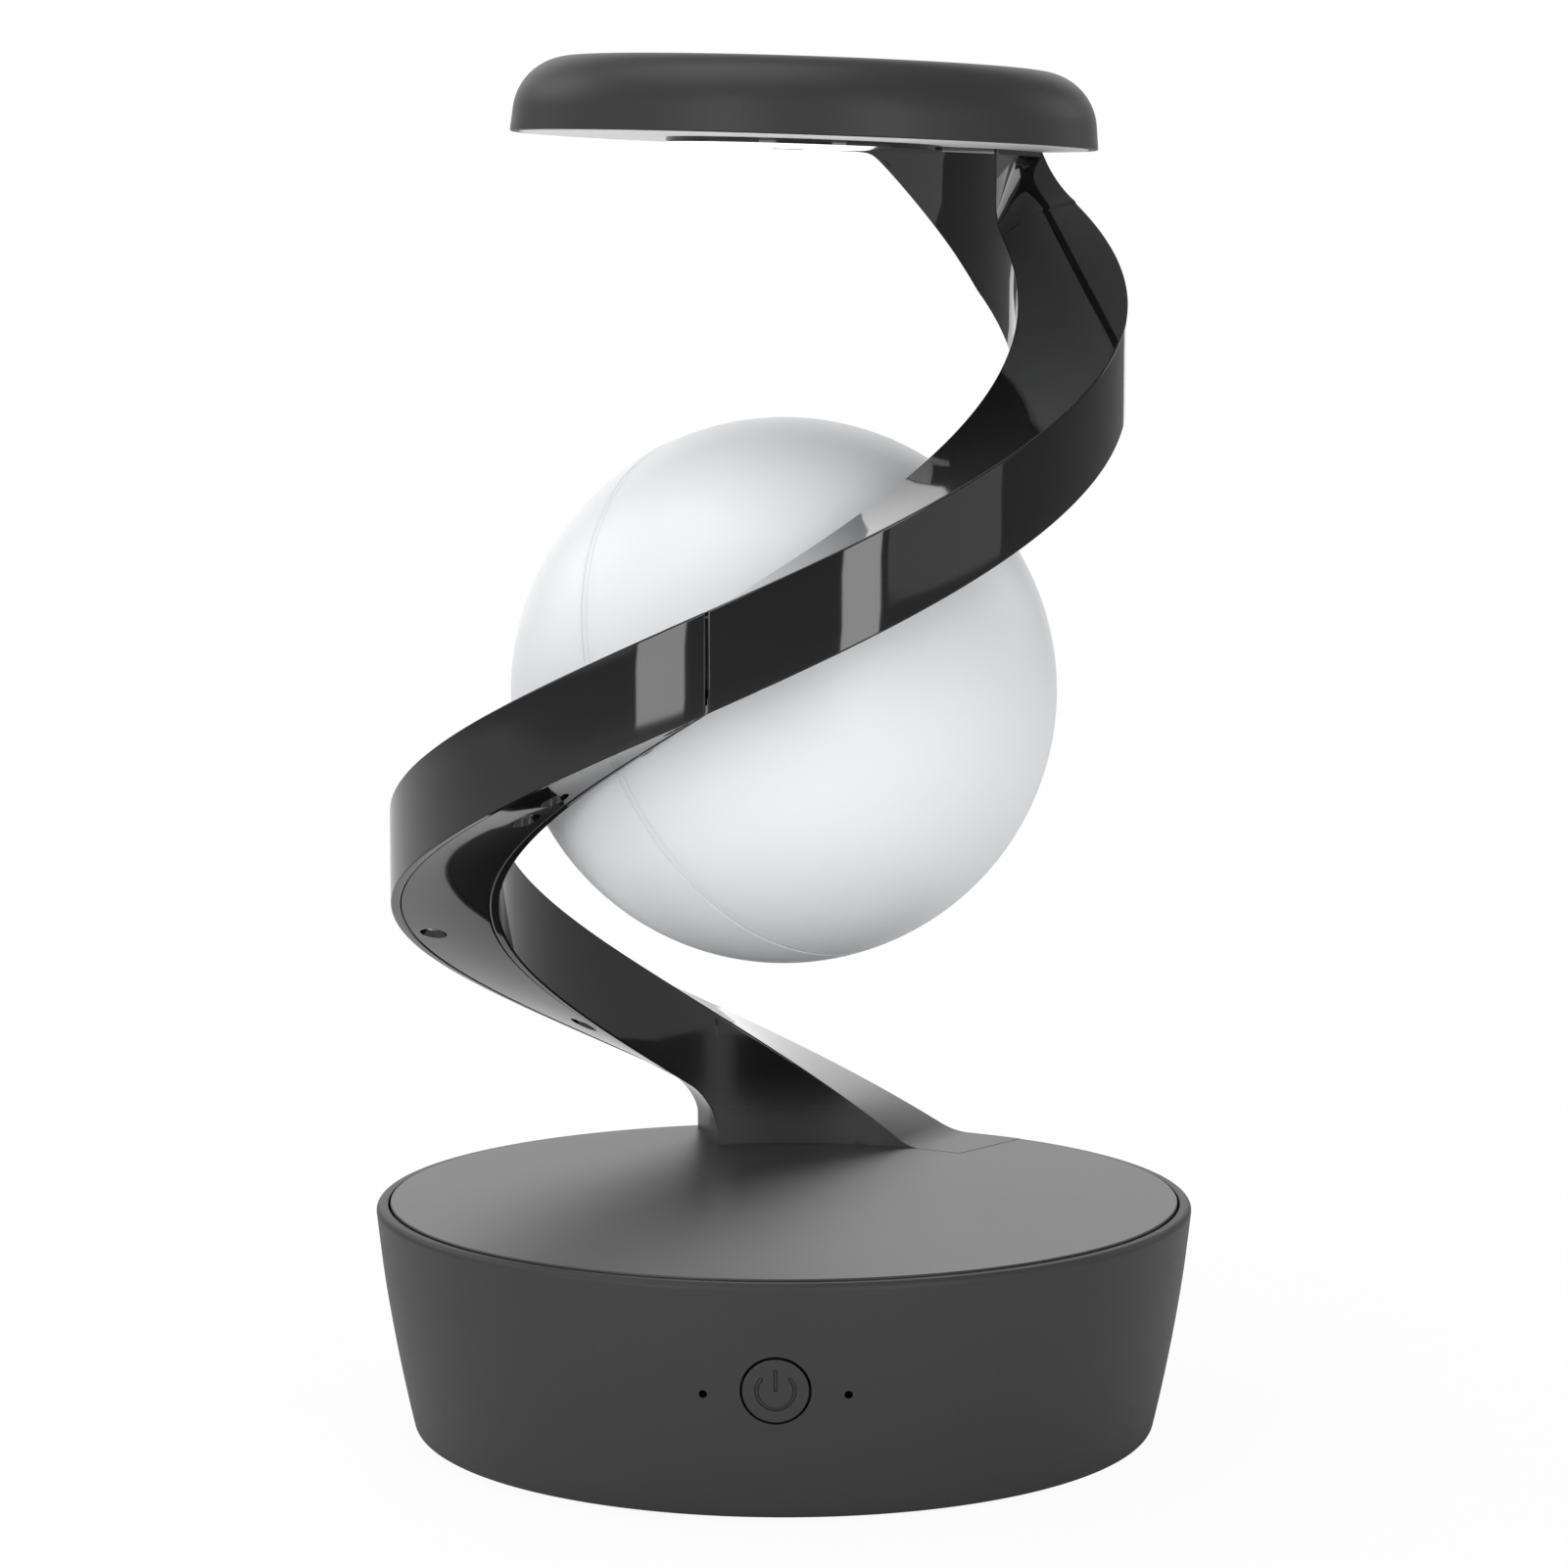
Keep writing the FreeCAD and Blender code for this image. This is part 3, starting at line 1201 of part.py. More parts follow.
def make_upper_cover():
    """Cover of the upper arm and its screws."""
    first = size("seam_angle") + size("cover_margin")
    cover = arm_cover(first, size("upper_cover_end") - 0.3, UPPER_COVER_SCREWS)
    feature_of("upper_cover_form", cover, "upper_arm_cover")
    feature_of("upper_cover_screws_form", cover_screws(UPPER_COVER_SCREWS), "upper_cover_screws")


def make_arm_wiring():
    """Flat cable that lies in the channel from the base to the head."""
    inset = (size("wire_inset"), size("wire_inset") + size("wire_width"))
    drop = size("wire_drop")
    ribbon = arm_band(size("foot_face") - 14, size("neck_angle") - 8, inset, below(drop), below(drop + size("wire_thickness")))
    feature_of("arm_wiring_form", ribbon, "arm_wiring")


# ---------------------------------------------------------------- head

def make_head_shell():
    """Domed shell of the head with its diffuser step and screw bosses."""
    body = new_body("head_shell")
    revolve(body, [
        ("head_radius - head_wall", "0"),
        ("head_radius", "0"),
        ("head_top_radius", "head_edge", "head_dome"),
        ("0", "head_thickness"),
        ("0", "head_thickness - head_wall"),
        ("head_top_radius - head_round", "head_edge - head_wall - 0.1", "-head_round - head_wall"),
        ("head_top_radius - head_wall - 0.1", "head_edge - head_round"),
        ("head_radius - head_wall - 1.0", "head_edge - head_round"),
        ("head_radius - head_wall - 1.0", "diffuser_recess + diffuser_thickness"),
        ("head_radius - head_wall", "diffuser_recess + diffuser_thickness"),
    ])
    soften(body, "head_round", ring_edge(size("head_top_radius"), size("head_edge")))
    for turn in HEAD_BOSS_ANGLES:
        x, y = f"head_boss_circle * cos({turn})", f"head_boss_circle * sin({turn})"
        boss = new_sketch(body, "XY_Plane", "chassis_height + chassis_thickness")
        circle(boss, x, y, "stud_radius")
        pad(body, boss, "head_edge - chassis_height - chassis_thickness - head_wall / 2 - 0.6")
        pilot = new_sketch(body, "XY_Plane", "chassis_height + chassis_thickness")
        circle(pilot, x, y, "small_screw_radius + pilot_gap")
        drill(body, pilot, "small_screw_length - chassis_thickness", onward=True)
    body.Placement = head_place()
    keep(body, "head_shell")


def head_disc(name, outer, low, thickness, holes, hole_radius, inner=None):
    """Disc in the head with round holes square to it; all sizes are numbers."""
    place = head_place()
    solid = Part.makeCylinder(outer, thickness, Vector(0, 0, low))
    if inner:
        solid = solid.cut(Part.makeCylinder(inner, thickness + 2, Vector(0, 0, low - 1)))
    solid.Placement = place
    for spot, radius in zip(holes, hole_radius):
        solid = solid.cut(rod(spot - head_up() * 5, head_up(), radius, 25))
    return feature_of(name + "_form", solid, name)


def make_diffuser():
    """White disc that closes the head, with holes for the neck and studs."""
    gap = size("neck_gap")
    radii = (size("neck_radius") + gap, size("stud_radius") + gap, size("stud_radius") + gap)
    head_disc("light_diffuser", size("head_radius") - size("head_wall") - size("diffuser_gap"),
              size("diffuser_recess"), size("diffuser_thickness"), neck_spots(), radii)


def make_head_chassis():
    """Aluminium plate that carries the light board and is screwed to studs and shell."""
    bosses = [in_head(polar(size("head_boss_circle"), turn)) for turn in HEAD_BOSS_ANGLES]
    hole = size("small_screw_radius") + 0.2
    head_disc("head_chassis", size("chassis_radius"),
              size("chassis_height"), size("chassis_thickness"), neck_spots() + bosses,
              (size("neck_bore"), hole, hole) + (hole,) * len(bosses))


def make_head_lights():
    """Light board under the chassis and its lamps."""
    low = size("chassis_height") - size("led_board_thickness")
    head_disc("head_light_board", size("led_outer"), low, size("led_board_thickness"), [], [],
              size("led_inner"))
    side, rise = size("led_side"), size("led_rise")
    lamps = []
    for number_of in range(HEAD_LED_COUNT):
        lamp = block(side, side, rise, Vector(size("led_circle"), 0, low - rise))
        lamp.rotate(Vector(0, 0, 0), Vector(0, 0, 1), 360.0 * number_of / HEAD_LED_COUNT)
        lamps.append(lamp)
    feature_of("head_leds_form", Part.makeCompound(lamps), "head_leds", head_place())


def make_head_screws():
    """Screws from above into the studs and from below into the shell bosses."""
    up = head_up()
    upper = size("chassis_height") + size("chassis_thickness")
    stud_screws = [small_screw(spot + up * upper, up * -1) for spot in neck_spots()[1:]]
    feature_of("stud_screws_form", Part.makeCompound(stud_screws), "head_stud_screws")
    shell_screws = [small_screw(in_head(polar(size("head_boss_circle"), turn, size("chassis_height"))), up)
                    for turn in HEAD_BOSS_ANGLES]
    feature_of("shell_screws_form", Part.makeCompound(shell_screws), "head_shell_screws")


# ---------------------------------------------------------------- ball

def ball_place():
    """Placement of the ball: local origin in its centre, local Z square to its seam."""
    turn = Rotation(Vector(0, 0, 1), size("ball_turn"))
    lean = Rotation(Vector(0, 1, 0), size("ball_lean"))
    return Placement(Vector(0, 0, size("ball_height")), turn.multiply(lean))


def make_ball_half(label, side):
    """Half of the white ball shell, up to the seam band."""
    body = new_body(label + "_body")
    half = "band_width / 2"
    outer_rim = f"sqrt(ball_radius * ball_radius - ({half}) * ({half}))"
    inner_rim = f"sqrt((ball_radius - ball_wall) * (ball_radius - ball_wall) - ({half}) * ({half}))"
    sketch = new_sketch(body)
    sign = f"{side} * "
    shell_outline(sketch, outer_rim, inner_rim, sign, half)
    feature = body.newObject("PartDesign::Revolution", label + "_turned")
    feature.Profile = sketch
    feature.ReferenceAxis = (sketch, ["V_Axis"])
    feature.Angle = 360
    DOC.recompute()
    body.Placement = ball_place()
    keep(body, label)


def shell_outline(sketch, outer_rim, inner_rim, sign, half):
    """Quarter ring between the seam plane and the pole."""
    import Sketcher
    way = -1 if sign.startswith("-") else 1
    outer, inner = size("ball_radius"), size("ball_radius") - size("ball_wall")
    low = way * number(half)
    spots = [Vector(number(outer_rim), low, 0), Vector(0, way * outer, 0), Vector(0, way * inner, 0),
             Vector(number(inner_rim), low, 0)]
    middle = Vector(math.cos(math.pi / 4), way * math.sin(math.pi / 4), 0)
    sketch.addGeometry(Part.Arc(spots[0], middle * outer, spots[1]), False)
    sketch.addGeometry(Part.LineSegment(spots[1], spots[2]), False)
    sketch.addGeometry(Part.Arc(spots[2], middle * inner, spots[3]), False)
    sketch.addGeometry(Part.LineSegment(spots[3], spots[0]), False)
    places = [(arc_end(sketch, 0, spots[0]), arc_end(sketch, 0, spots[1])), (1, 2),
              (arc_end(sketch, 2, spots[2]), arc_end(sketch, 2, spots[3])), (1, 2)]
    for index in range(4):
        after = (index + 1) % 4
        sketch.addConstraint(Sketcher.Constraint("Coincident", index, places[index][1], after, places[after][0]))
    for arc, radius in ((0, "ball_radius"), (2, "ball_radius - ball_wall")):
        sketch.addConstraint(Sketcher.Constraint("Coincident", arc, 3, -1, 1))
        held = sketch.addConstraint(Sketcher.Constraint("Radius", arc, number(radius)))
        sketch.setExpression(f"Constraints[{held}]", bound(radius))
    sketch.addConstraint(Sketcher.Constraint("PointOnObject", 1, 1, -2))
    sketch.addConstraint(Sketcher.Constraint("PointOnObject", 1, 2, -2))
    pin_point(sketch, 3, 1, "Y", sign + half)
    pin_point(sketch, 3, 2, "Y", sign + half)


def make_seam_band():
    """Band between the two halves, with the lip that both halves snap onto."""
    body = new_body("ball_seam_band")
    lip = "ball_radius - ball_wall - 0.15"
    revolve(body, [
        (lip, "-1 * band_lip / 2"),
        (lip, "-1 * band_width / 2"),
        ("ball_radius - 0.05", "-1 * band_width / 2"),
        ("ball_radius - 0.05", "band_width / 2"),
        (lip, "band_width / 2"),
        (lip, "band_lip / 2"),
        (lip + " - band_lip_depth", "band_lip / 2"),
        (lip + " - band_lip_depth", "-1 * band_lip / 2"),
    ])
    body.Placement = ball_place()
    keep(body, "ball_seam_band")


def in_ball(shape):
    """Shape moved from the ball's own frame to its place."""
    shape.Placement = ball_place().multiply(shape.Placement)
    return shape


def make_ball_frame():
    """Plate across the ball with the cell cradle and the boss behind the keeper."""
    radius = size("ball_radius") - size("ball_wall") - 0.15 - size("band_lip_depth") - 0.05
    thick = size("frame_thickness")
    plate = Part.makeCylinder(radius, thick, Vector(0, 0, -thick / 2))
    cradle = Part.makeBox(size("cell_length") + 5, 2 * size("cell_radius") + 5, 12,
                          Vector(-size("cell_length") / 2 - 2.5, -size("cell_radius") - 2.5, -6))
    solid = in_ball(plate.fuse(cradle))
    away, reach = magnet_axis()[1], keeper_reach()
    solid = solid.fuse(rod(along_magnet(reach - size("keeper_boss_length")), away, size("keeper_boss"),
                           size("keeper_boss_length")))
    solid = solid.cut(rod(along_magnet(reach), away, size("keeper_radius") + 0.2, 6))
    cell = in_ball(Part.makeCylinder(size("cell_radius") + 0.1, size("cell_length") + 0.4,
                                     Vector(-size("cell_length") / 2 - 0.2, 0, 0), Vector(1, 0, 0)))
    feature_of("ball_frame_form", solid.cut(cell).removeSplitter(), "ball_frame")


def keeper_reach():
    """Distance from the ball's centre to the back of the keeper plate, which clears the seam band."""
    inner = size("ball_radius") - size("ball_wall") - 0.15 - size("band_lip_depth")
    return math.sqrt(inner ** 2 - size("keeper_radius") ** 2) - 0.2 - size("keeper_thickness")


def make_ball_keeper():
    """Steel plate inside the shell that the arm magnet pulls on."""
    plate = rod(along_magnet(keeper_reach()), magnet_axis()[1], size("keeper_radius"), size("keeper_thickness"))
    feature_of("ball_keeper_form", plate, "ball_keeper_plate")


def make_ball_cell():
    """Rechargeable cell in the cradle."""
    cell = Part.makeCylinder(size("cell_radius"), size("cell_length"),
                             Vector(-size("cell_length") / 2, 0, 0), Vector(1, 0, 0))
    feature_of("ball_cell_form", in_ball(cell), "ball_battery")


def make_ball_lights():
    """Two round light boards on posts, one each side of the frame, and their lamps."""
    offset, board = size("light_offset"), size("board_thickness")
    boards, lamps, posts = [], [], []
    for side in (-1, 1):
        low = offset if side > 0 else -offset - board
        boards.append(Part.makeCylinder(size("light_radius"), board, Vector(0, 0, low)))
        top = offset + board if side > 0 else -offset - board - size("led_rise")
        for count in range(BALL_LED_COUNT):
            lamp = block(size("led_side"), size("led_side"), size("led_rise"),
                         Vector(size("light_radius") * 0.75, 0, top))
            lamp.rotate(Vector(0, 0, 0), Vector(0, 0, 1), 360.0 * count / BALL_LED_COUNT)
            lamps.append(lamp)
        for turn in (60, 120, 240, 300):
            foot = size("frame_thickness") / 2 if side > 0 else -offset
            run = offset - size("frame_thickness") / 2
            posts.append(Part.makeCylinder(1.8, run, polar(size("light_radius") - 4, turn, foot)))
    feature_of("ball_boards_form", in_ball(Part.makeCompound(boards)), "ball_light_boards")
    feature_of("ball_leds_form", in_ball(Part.makeCompound(lamps)), "ball_leds")
    feature_of("ball_posts_form", in_ball(Part.makeCompound(posts)), "ball_board_posts")


# ---------------------------------------------------------------- document

def check_document():
    """Stop if any object failed or any sub-part is not a sound solid."""
    DOC.recompute()
    for item in DOC.Objects:
        bad = {"Invalid", "Error"} & set(item.State)
        if bad:
            raise RuntimeError(f"{item.Name}: {sorted(bad)}")
    for item in SUB_PARTS:
        if item.Shape.isNull() or not item.Shape.isValid() or not item.Shape.Solids:
            raise RuntimeError(item.Label + " is not a valid solid")


def write_parts():
    """Write one STEP file for each sub-part."""
    os.makedirs("parts", exist_ok=True)
    for item in SUB_PARTS:
        item.Shape.exportStep(f"parts/{item.Label}.step")


def main():
    """Build every sub-part, check the document and write it."""
    fill_sheet()
    make_base_housing()
    make_bottom_cover()
    make_anti_slip_ring()
    make_bottom_screws()
    make_ballast()
    make_main_board()
    make_board_components()
    make_board_screws()
    make_inlet()
    make_power_button()
    make_button_board()
    make_button_switch()
    make_light_pipes()
    make_deck_with_lower_arm()
    make_deck_screws()
    make_lower_cover()
    make_magnet()
    make_upper_arm()
    make_upper_cover()
    make_arm_wiring()
    make_head_shell()
    make_diffuser()
    make_head_chassis()
    make_head_lights()
    make_head_screws()
    make_ball_half("ball_front_half", 1)
    make_ball_half("ball_rear_half", -1)
    make_seam_band()
    make_ball_frame()
    make_ball_keeper()
    make_ball_cell()
    make_ball_lights()
    check_document()
    write_parts()


if __name__ == "__main__":
    main()
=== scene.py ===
"""Looks of the magnetic balance lamp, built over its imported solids.

Lengths are metres in the solids' own frame: +Z up, -Y towards the power button. Angles round the arm are
degrees that start at the back and grow to the left, seen from the front.
"""
from __future__ import annotations

import logging
import math
from dataclasses import dataclass, field, replace
from enum import Enum
from typing import Callable, Sequence, Union

import bmesh
import bpy
from mathutils import Matrix, Vector

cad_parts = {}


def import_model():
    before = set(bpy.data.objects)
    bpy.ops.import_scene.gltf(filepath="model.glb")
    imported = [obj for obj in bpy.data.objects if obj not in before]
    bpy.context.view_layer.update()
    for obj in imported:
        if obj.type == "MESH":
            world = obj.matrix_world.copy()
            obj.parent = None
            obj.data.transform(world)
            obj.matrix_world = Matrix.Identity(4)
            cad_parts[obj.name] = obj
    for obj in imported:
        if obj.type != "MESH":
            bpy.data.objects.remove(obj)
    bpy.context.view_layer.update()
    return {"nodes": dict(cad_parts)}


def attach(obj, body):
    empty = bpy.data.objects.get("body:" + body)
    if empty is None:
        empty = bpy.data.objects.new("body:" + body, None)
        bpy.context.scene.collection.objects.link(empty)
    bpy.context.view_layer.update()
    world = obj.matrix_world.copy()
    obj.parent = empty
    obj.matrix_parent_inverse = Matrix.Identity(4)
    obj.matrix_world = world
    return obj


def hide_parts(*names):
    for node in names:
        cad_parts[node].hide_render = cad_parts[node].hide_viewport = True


LOG = logging.getLogger("lamp")
WHITE = (1.0, 1.0, 1.0, 1.0)
TURNS = 288
SAME_SPOT = 1e-7
SAME_BEND = 2e-6
SWITCH = 1e-5
BALL_RADIUS = 0.0496
BALL_HEIGHT = 0.1368
EDGE_STEPS = 6
BEVEL_STEPS = 4
GREEN_SHARE = 0.4

# Sockets of a colour mix: share, first colour and second colour going in, mixed colour coming out.
MIX_SHARE, MIX_FIRST, MIX_SECOND, MIX_COLOUR = 0, 6, 7, 2

# Deck and rim rise by LEAN on the way from LEAN_REACH behind the middle to LEAN_REACH before it.
LEAN = 0.0017
LEAN_REACH = 0.072

Point = tuple[float, float]
Corner = tuple[float, float, float]


class Body(Enum):
    """Bodies that the dressed pieces ride on."""

    LAMP = "lamp"
    BALL = "ball"
    BUTTON = "button"


# ---------------------------------------------------------------- node trees


class Number:
    """Number that a node tree works out, with Python's own arithmetic."""

    def __init__(self, tree: "Tree", socket: bpy.types.NodeSocket) -> None:
        """Wrap one output socket of a tree."""
        self.tree = tree
        self.socket = socket

    def maths(self, operation: str, *values: "Value") -> "Number":
        """Join this number to others with one maths node.

        Args:
            operation: name of the maths node's operation.
            values: the node's inputs in order.

        Returns:
            The node's result.
        """
        made = self.tree.node("ShaderNodeMath", {"operation": operation}, dict(enumerate(values)))
        return Number(self.tree, made.outputs[0])

    def __add__(self, other: "Value") -> "Number":
        """Sum."""
        return self.maths("ADD", self, other)

    def __radd__(self, other: float) -> "Number":
        """Sum with a plain number in front."""
        return self.maths("ADD", other, self)

    def __sub__(self, other: "Value") -> "Number":
        """Difference."""
        return self.maths("SUBTRACT", self, other)

    def __rsub__(self, other: float) -> "Number":
        """Difference from a plain number."""
        return self.maths("SUBTRACT", other, self)

    def __mul__(self, other: "Value") -> "Number":
        """Product."""
        return self.maths("MULTIPLY", self, other)

    def __rmul__(self, other: float) -> "Number":
        """Product with a plain number in front."""
        return self.maths("MULTIPLY", other, self)

    def __truediv__(self, other: "Value") -> "Number":
        """Quotient."""
        return self.maths("DIVIDE", self, other)

    def __rtruediv__(self, other: float) -> "Number":
        """Quotient of a plain number."""
        return self.maths("DIVIDE", other, self)

    def __neg__(self) -> "Number":
        """Opposite."""
        return self.maths("MULTIPLY", self, -1.0)

    def __abs__(self) -> "Number":
        """Size without its sign."""
        return self.maths("ABSOLUTE", self)


Value = Union[Number, float]


def root(value: Value) -> Value:
    """Square root."""
    return value.maths("SQRT", value) if isinstance(value, Number) else math.sqrt(value)


def sine(value: Value) -> Value:
    """Sine of radians."""
    return value.maths("SINE", value) if isinstance(value, Number) else math.sin(value)


def cosine(value: Value) -> Value:
    """Cosine of radians."""
    return value.maths("COSINE", value) if isinstance(value, Number) else math.cos(value)


def arc_cosine(value: Value) -> Value:
    """Angle whose cosine is given, in radians."""
    return value.maths("ARCCOSINE", value) if isinstance(value, Number) else math.acos(value)


def chosen(operation: str, choice: Callable[[float, float], float], one: Value, other: Value) -> Value:
    """One of two numbers, worked out by a tree where either belongs to one.

    Args:
        operation: name of the maths node's operation.
        choice: what does the same with plain numbers.
        one: first number.
        other: second number.

    Returns:
        The number chosen.
    """
    for value in (one, other):
        if isinstance(value, Number):
            return value.maths(operation, one, other)
    return choice(one, other)


def least(one: Value, other: Value) -> Value:
    """Smaller of two numbers."""
    return chosen("MINIMUM", min, one, other)


def most(one: Value, other: Value) -> Value:
    """Larger of two numbers."""
    return chosen("MAXIMUM", max, one, other)


def held(value: Value, low: float = 0.0, high: float = 1.0) -> Value:
    """Number kept between two limits."""
    return least(most(value, low), high)


def passed(value: Value, start: float, span: float) -> Value:
    """Share of a span that a value has passed, from 0 at its start to 1 at its end."""
    return held((value - start) * (1.0 / span))


def between(first: Value, last: Value, share: Value) -> Value:
    """Value at a share of the way from a first to a last one."""
    return first + (last - first) * share


def ramp(value: Value, low: float, high: float) -> Value:
    """Smooth step from 0 at low to 1 at high."""
    step = passed(value, low, high - low)
    return step * step * (3.0 - 2.0 * step)


class Tree:
    """Node tree with one way to make any node."""

    def __init__(self, tree: bpy.types.NodeTree) -> None:
        """Wrap a tree."""
        self.tree = tree

    def feed(self, socket: bpy.types.NodeSocket, value: object) -> None:
        """Link a socket to a number, colour or geometry of the tree, or set it.

        Args:
            socket: the socket.
            value: what it is linked to or set to.
        """
        if isinstance(value, Number):
            value = value.socket
        if isinstance(value, bpy.types.NodeSocket):
            self.tree.links.new(value, socket)
        else:
            socket.default_value = value

    def node(self, kind: str, settings: dict | None = None, inputs: dict | None = None) -> bpy.types.Node:
        """Make one node.

        Args:
            kind: Blender's name of the node type.
            settings: the node's own properties, set first.
            inputs: values or sockets by input name or place.

        Returns:
            The new node.
        """
        made = self.tree.nodes.new(kind)
        for name, value in (settings or {}).items():
            setattr(made, name, value)
        for name, value in (inputs or {}).items():
            self.feed(made.inputs[name], value)
        return made

    def parts(self, vector: bpy.types.NodeSocket) -> tuple[Number, Number, Number]:
        """X, Y and Z of a vector."""
        made = self.node("ShaderNodeSeparateXYZ", inputs={0: vector})
        return tuple(Number(self, out) for out in made.outputs)

    def joined(self, x: Value, y: Value, z: Value) -> bpy.types.NodeSocket:
        """Vector of three numbers."""
        return self.node("ShaderNodeCombineXYZ", inputs={0: x, 1: y, 2: z}).outputs[0]


# ---------------------------------------------------------------- finishes


class ShaderTree(Tree):
    """Material tree round one Principled BSDF."""

    def __init__(self, name: str) -> None:
        """Start a material of this name.

        Args:
            name: name of the material.
        """
        self.material = bpy.data.materials.new(name)
        self.material.use_nodes = True
        super().__init__(self.material.node_tree)
        self.shader = self.tree.nodes["Principled BSDF"]
        self.space = self.node("ShaderNodeTexCoord").outputs["Object"]

    def noise(self, scale: float, detail: float = 3.0, rough: float = 0.5,
              at: bpy.types.NodeSocket | None = None) -> Number:
        """Noise between 0 and 1 that sits on the piece.

        Args:
            scale: how fine it is, per metre.
            detail: number of finer layers.
            rough: strength of the finer layers.
            at: where it is read, if not in the piece's own space.

        Returns:
            The noise.
        """
        made = self.node("ShaderNodeTexNoise", {"noise_dimensions": "3D"}, {
            "Vector": at or self.space, "Scale": scale, "Detail": detail, "Roughness": rough})
        return Number(self, made.outputs[0])

    def stretched(self, x: float, y: float, z: float) -> bpy.types.NodeSocket:
        """Place on the piece with each axis scaled."""
        made = self.node("ShaderNodeMapping", inputs={"Vector": self.space, "Scale": (x, y, z)})
        return made.outputs[0]

    def cells(self, scale: float) -> Number:
        """Distance to the middle of small cells."""
        made = self.node("ShaderNodeTexVoronoi", inputs={"Vector": self.space, "Scale": scale})
        return Number(self, made.outputs[0])

    def blend(self, share: Value, first: object, second: object) -> bpy.types.NodeSocket:
        """Colour between two colours.

        Args:
            share: 0 for the first colour and 1 for the second.
            first: first colour.
            second: second colour.

        Returns:
            The mixed colour.
        """
        made = self.node("ShaderNodeMix", {"data_type": "RGBA"},
                         {MIX_SHARE: share, MIX_FIRST: first, MIX_SECOND: second})
        return made.outputs[MIX_COLOUR]

    def bump(self, height: Number, strength: float, depth: float,
             under: bpy.types.NodeSocket | None = None) -> bpy.types.NodeSocket:
        """Surface direction that a height gives.

        Args:
            height: the height, 0 to 1.
            strength: how strongly it shows.
            depth: the real depth in metres.
            under: a coarser surface direction to start from.

        Returns:
            The surface direction.
        """
        inputs = {"Height": height, "Strength": strength, "Distance": depth}
        if under is not None:
            inputs["Normal"] = under
        return self.node("ShaderNodeBump", inputs=inputs).outputs[0]

    def finish(self, inputs: dict) -> bpy.types.Material:
        """Set the shader's inputs and hand the material over.

        Args:
            inputs: values or sockets by the name of the shader's input.

        Returns:
            The material.
        """
        for name, value in inputs.items():
            self.feed(self.shader.inputs[name], value)
        return self.material


Colour = tuple[float, float, float, float]
Tint = tuple[float, float, float]


def grey(level: float, blue: float = 0.0) -> Colour:
    """Near-neutral colour with a little blue."""
    return (level, level + blue * GREEN_SHARE, level + blue, 1.0)


@dataclass(frozen=True)
class Moulding:
    """Moulded plastic: colour that varies a little, a fine grain and faint handling marks."""

    name: str
    level: float
    blue: float = 0.001
    spread: float = 0.12
    roughness: float = 0.4
    rough_spread: float = 0.06
    grain: float = 9000.0
    grain_depth: float = 0.00001
    grain_strength: float = 0.3
    wave_strength: float = 0.0
    coat: float = 0.0
    coat_rough: float = 0.05
    dust: float = 0.0
    specular: float = 0.5
    through: float = 0.0
    satin_below: float = 0.0
    satin_rough: float = 0.12
    satin_level: float = 0.03
    satin_fade: float = 0.009
    cloud: float = 22.0
    cloud_share: float = 0.7
    dust_lift: float = 0.1
    rub_strength: float = 0.6
    rub: float = 140.0
    rub_share: tuple[float, float] = (0.56, 0.74)
    speck: float = 420.0
    speck_size: tuple[float, float] = (0.03, 0.06)
    wave: float = 38.0
    wave_depth: float = 0.0003
    scatter: float = 0.004
    cloud_detail: tuple[float, float] = (4.0, 0.55)
    grain_detail: tuple[float, float] = (2.0, 0.6)
    rub_detail: tuple[float, float] = (5.0, 0.7)
    wave_detail: tuple[float, float] = (1.0, 0.4)
    dust_gain: float = 4.0
    smoothest: float = 0.02

    def material(self) -> bpy.types.Material:
        """Make the material.

        Returns:
            The material.
        """
        tree = ShaderTree(self.name)
        broad = tree.noise(self.cloud, *self.cloud_detail)
        fine = tree.noise(self.grain, *self.grain_detail)
        rubbed = ramp(tree.noise(self.rub, *self.rub_detail), *self.rub_share)
        speck = 1.0 - ramp(tree.cells(self.speck), *self.speck_size)
        low, high = (grey(self.level * (1 + side * self.spread), self.blue) for side in (-1, 1))
        colour = tree.blend(between(fine, broad, self.cloud_share), low, high)
        if self.dust > 0:
            dusty = grey(min(1.0, self.level * self.dust_gain + self.dust_lift))
            colour = tree.blend(speck * self.dust, colour, dusty)
        rough = self.roughness + (broad - 0.5 + rubbed * self.rub_strength) * self.rough_spread
        normal = tree.bump(fine, self.grain_strength, self.grain_depth)
        if self.wave_strength > 0:
            wave = tree.noise(self.wave, *self.wave_detail)
            normal = tree.bump(wave, self.wave_strength, self.wave_depth, normal)
        coat = self.coat
        if self.satin_below > 0:
            height = tree.parts(tree.space)[2]
            satin = 1.0 - ramp(height, self.satin_below, self.satin_below + self.satin_fade)
            coat = (1.0 - satin) * self.coat
            rough = rough + satin * self.satin_rough
            colour = tree.blend(satin, colour, grey(self.satin_level))
        inputs = {"Base Color": colour, "Roughness": held(rough, self.smoothest, 1.0), "Normal": normal,
                  "Specular IOR Level": self.specular, "Coat Weight": coat,
                  "Coat Roughness": self.coat_rough}
        if self.through > 0:
            inputs.update({"Subsurface Weight": self.through, "Subsurface Radius": (self.scatter,) * 3,
                           "Subsurface Scale": 1.0})
        return tree.finish(inputs)


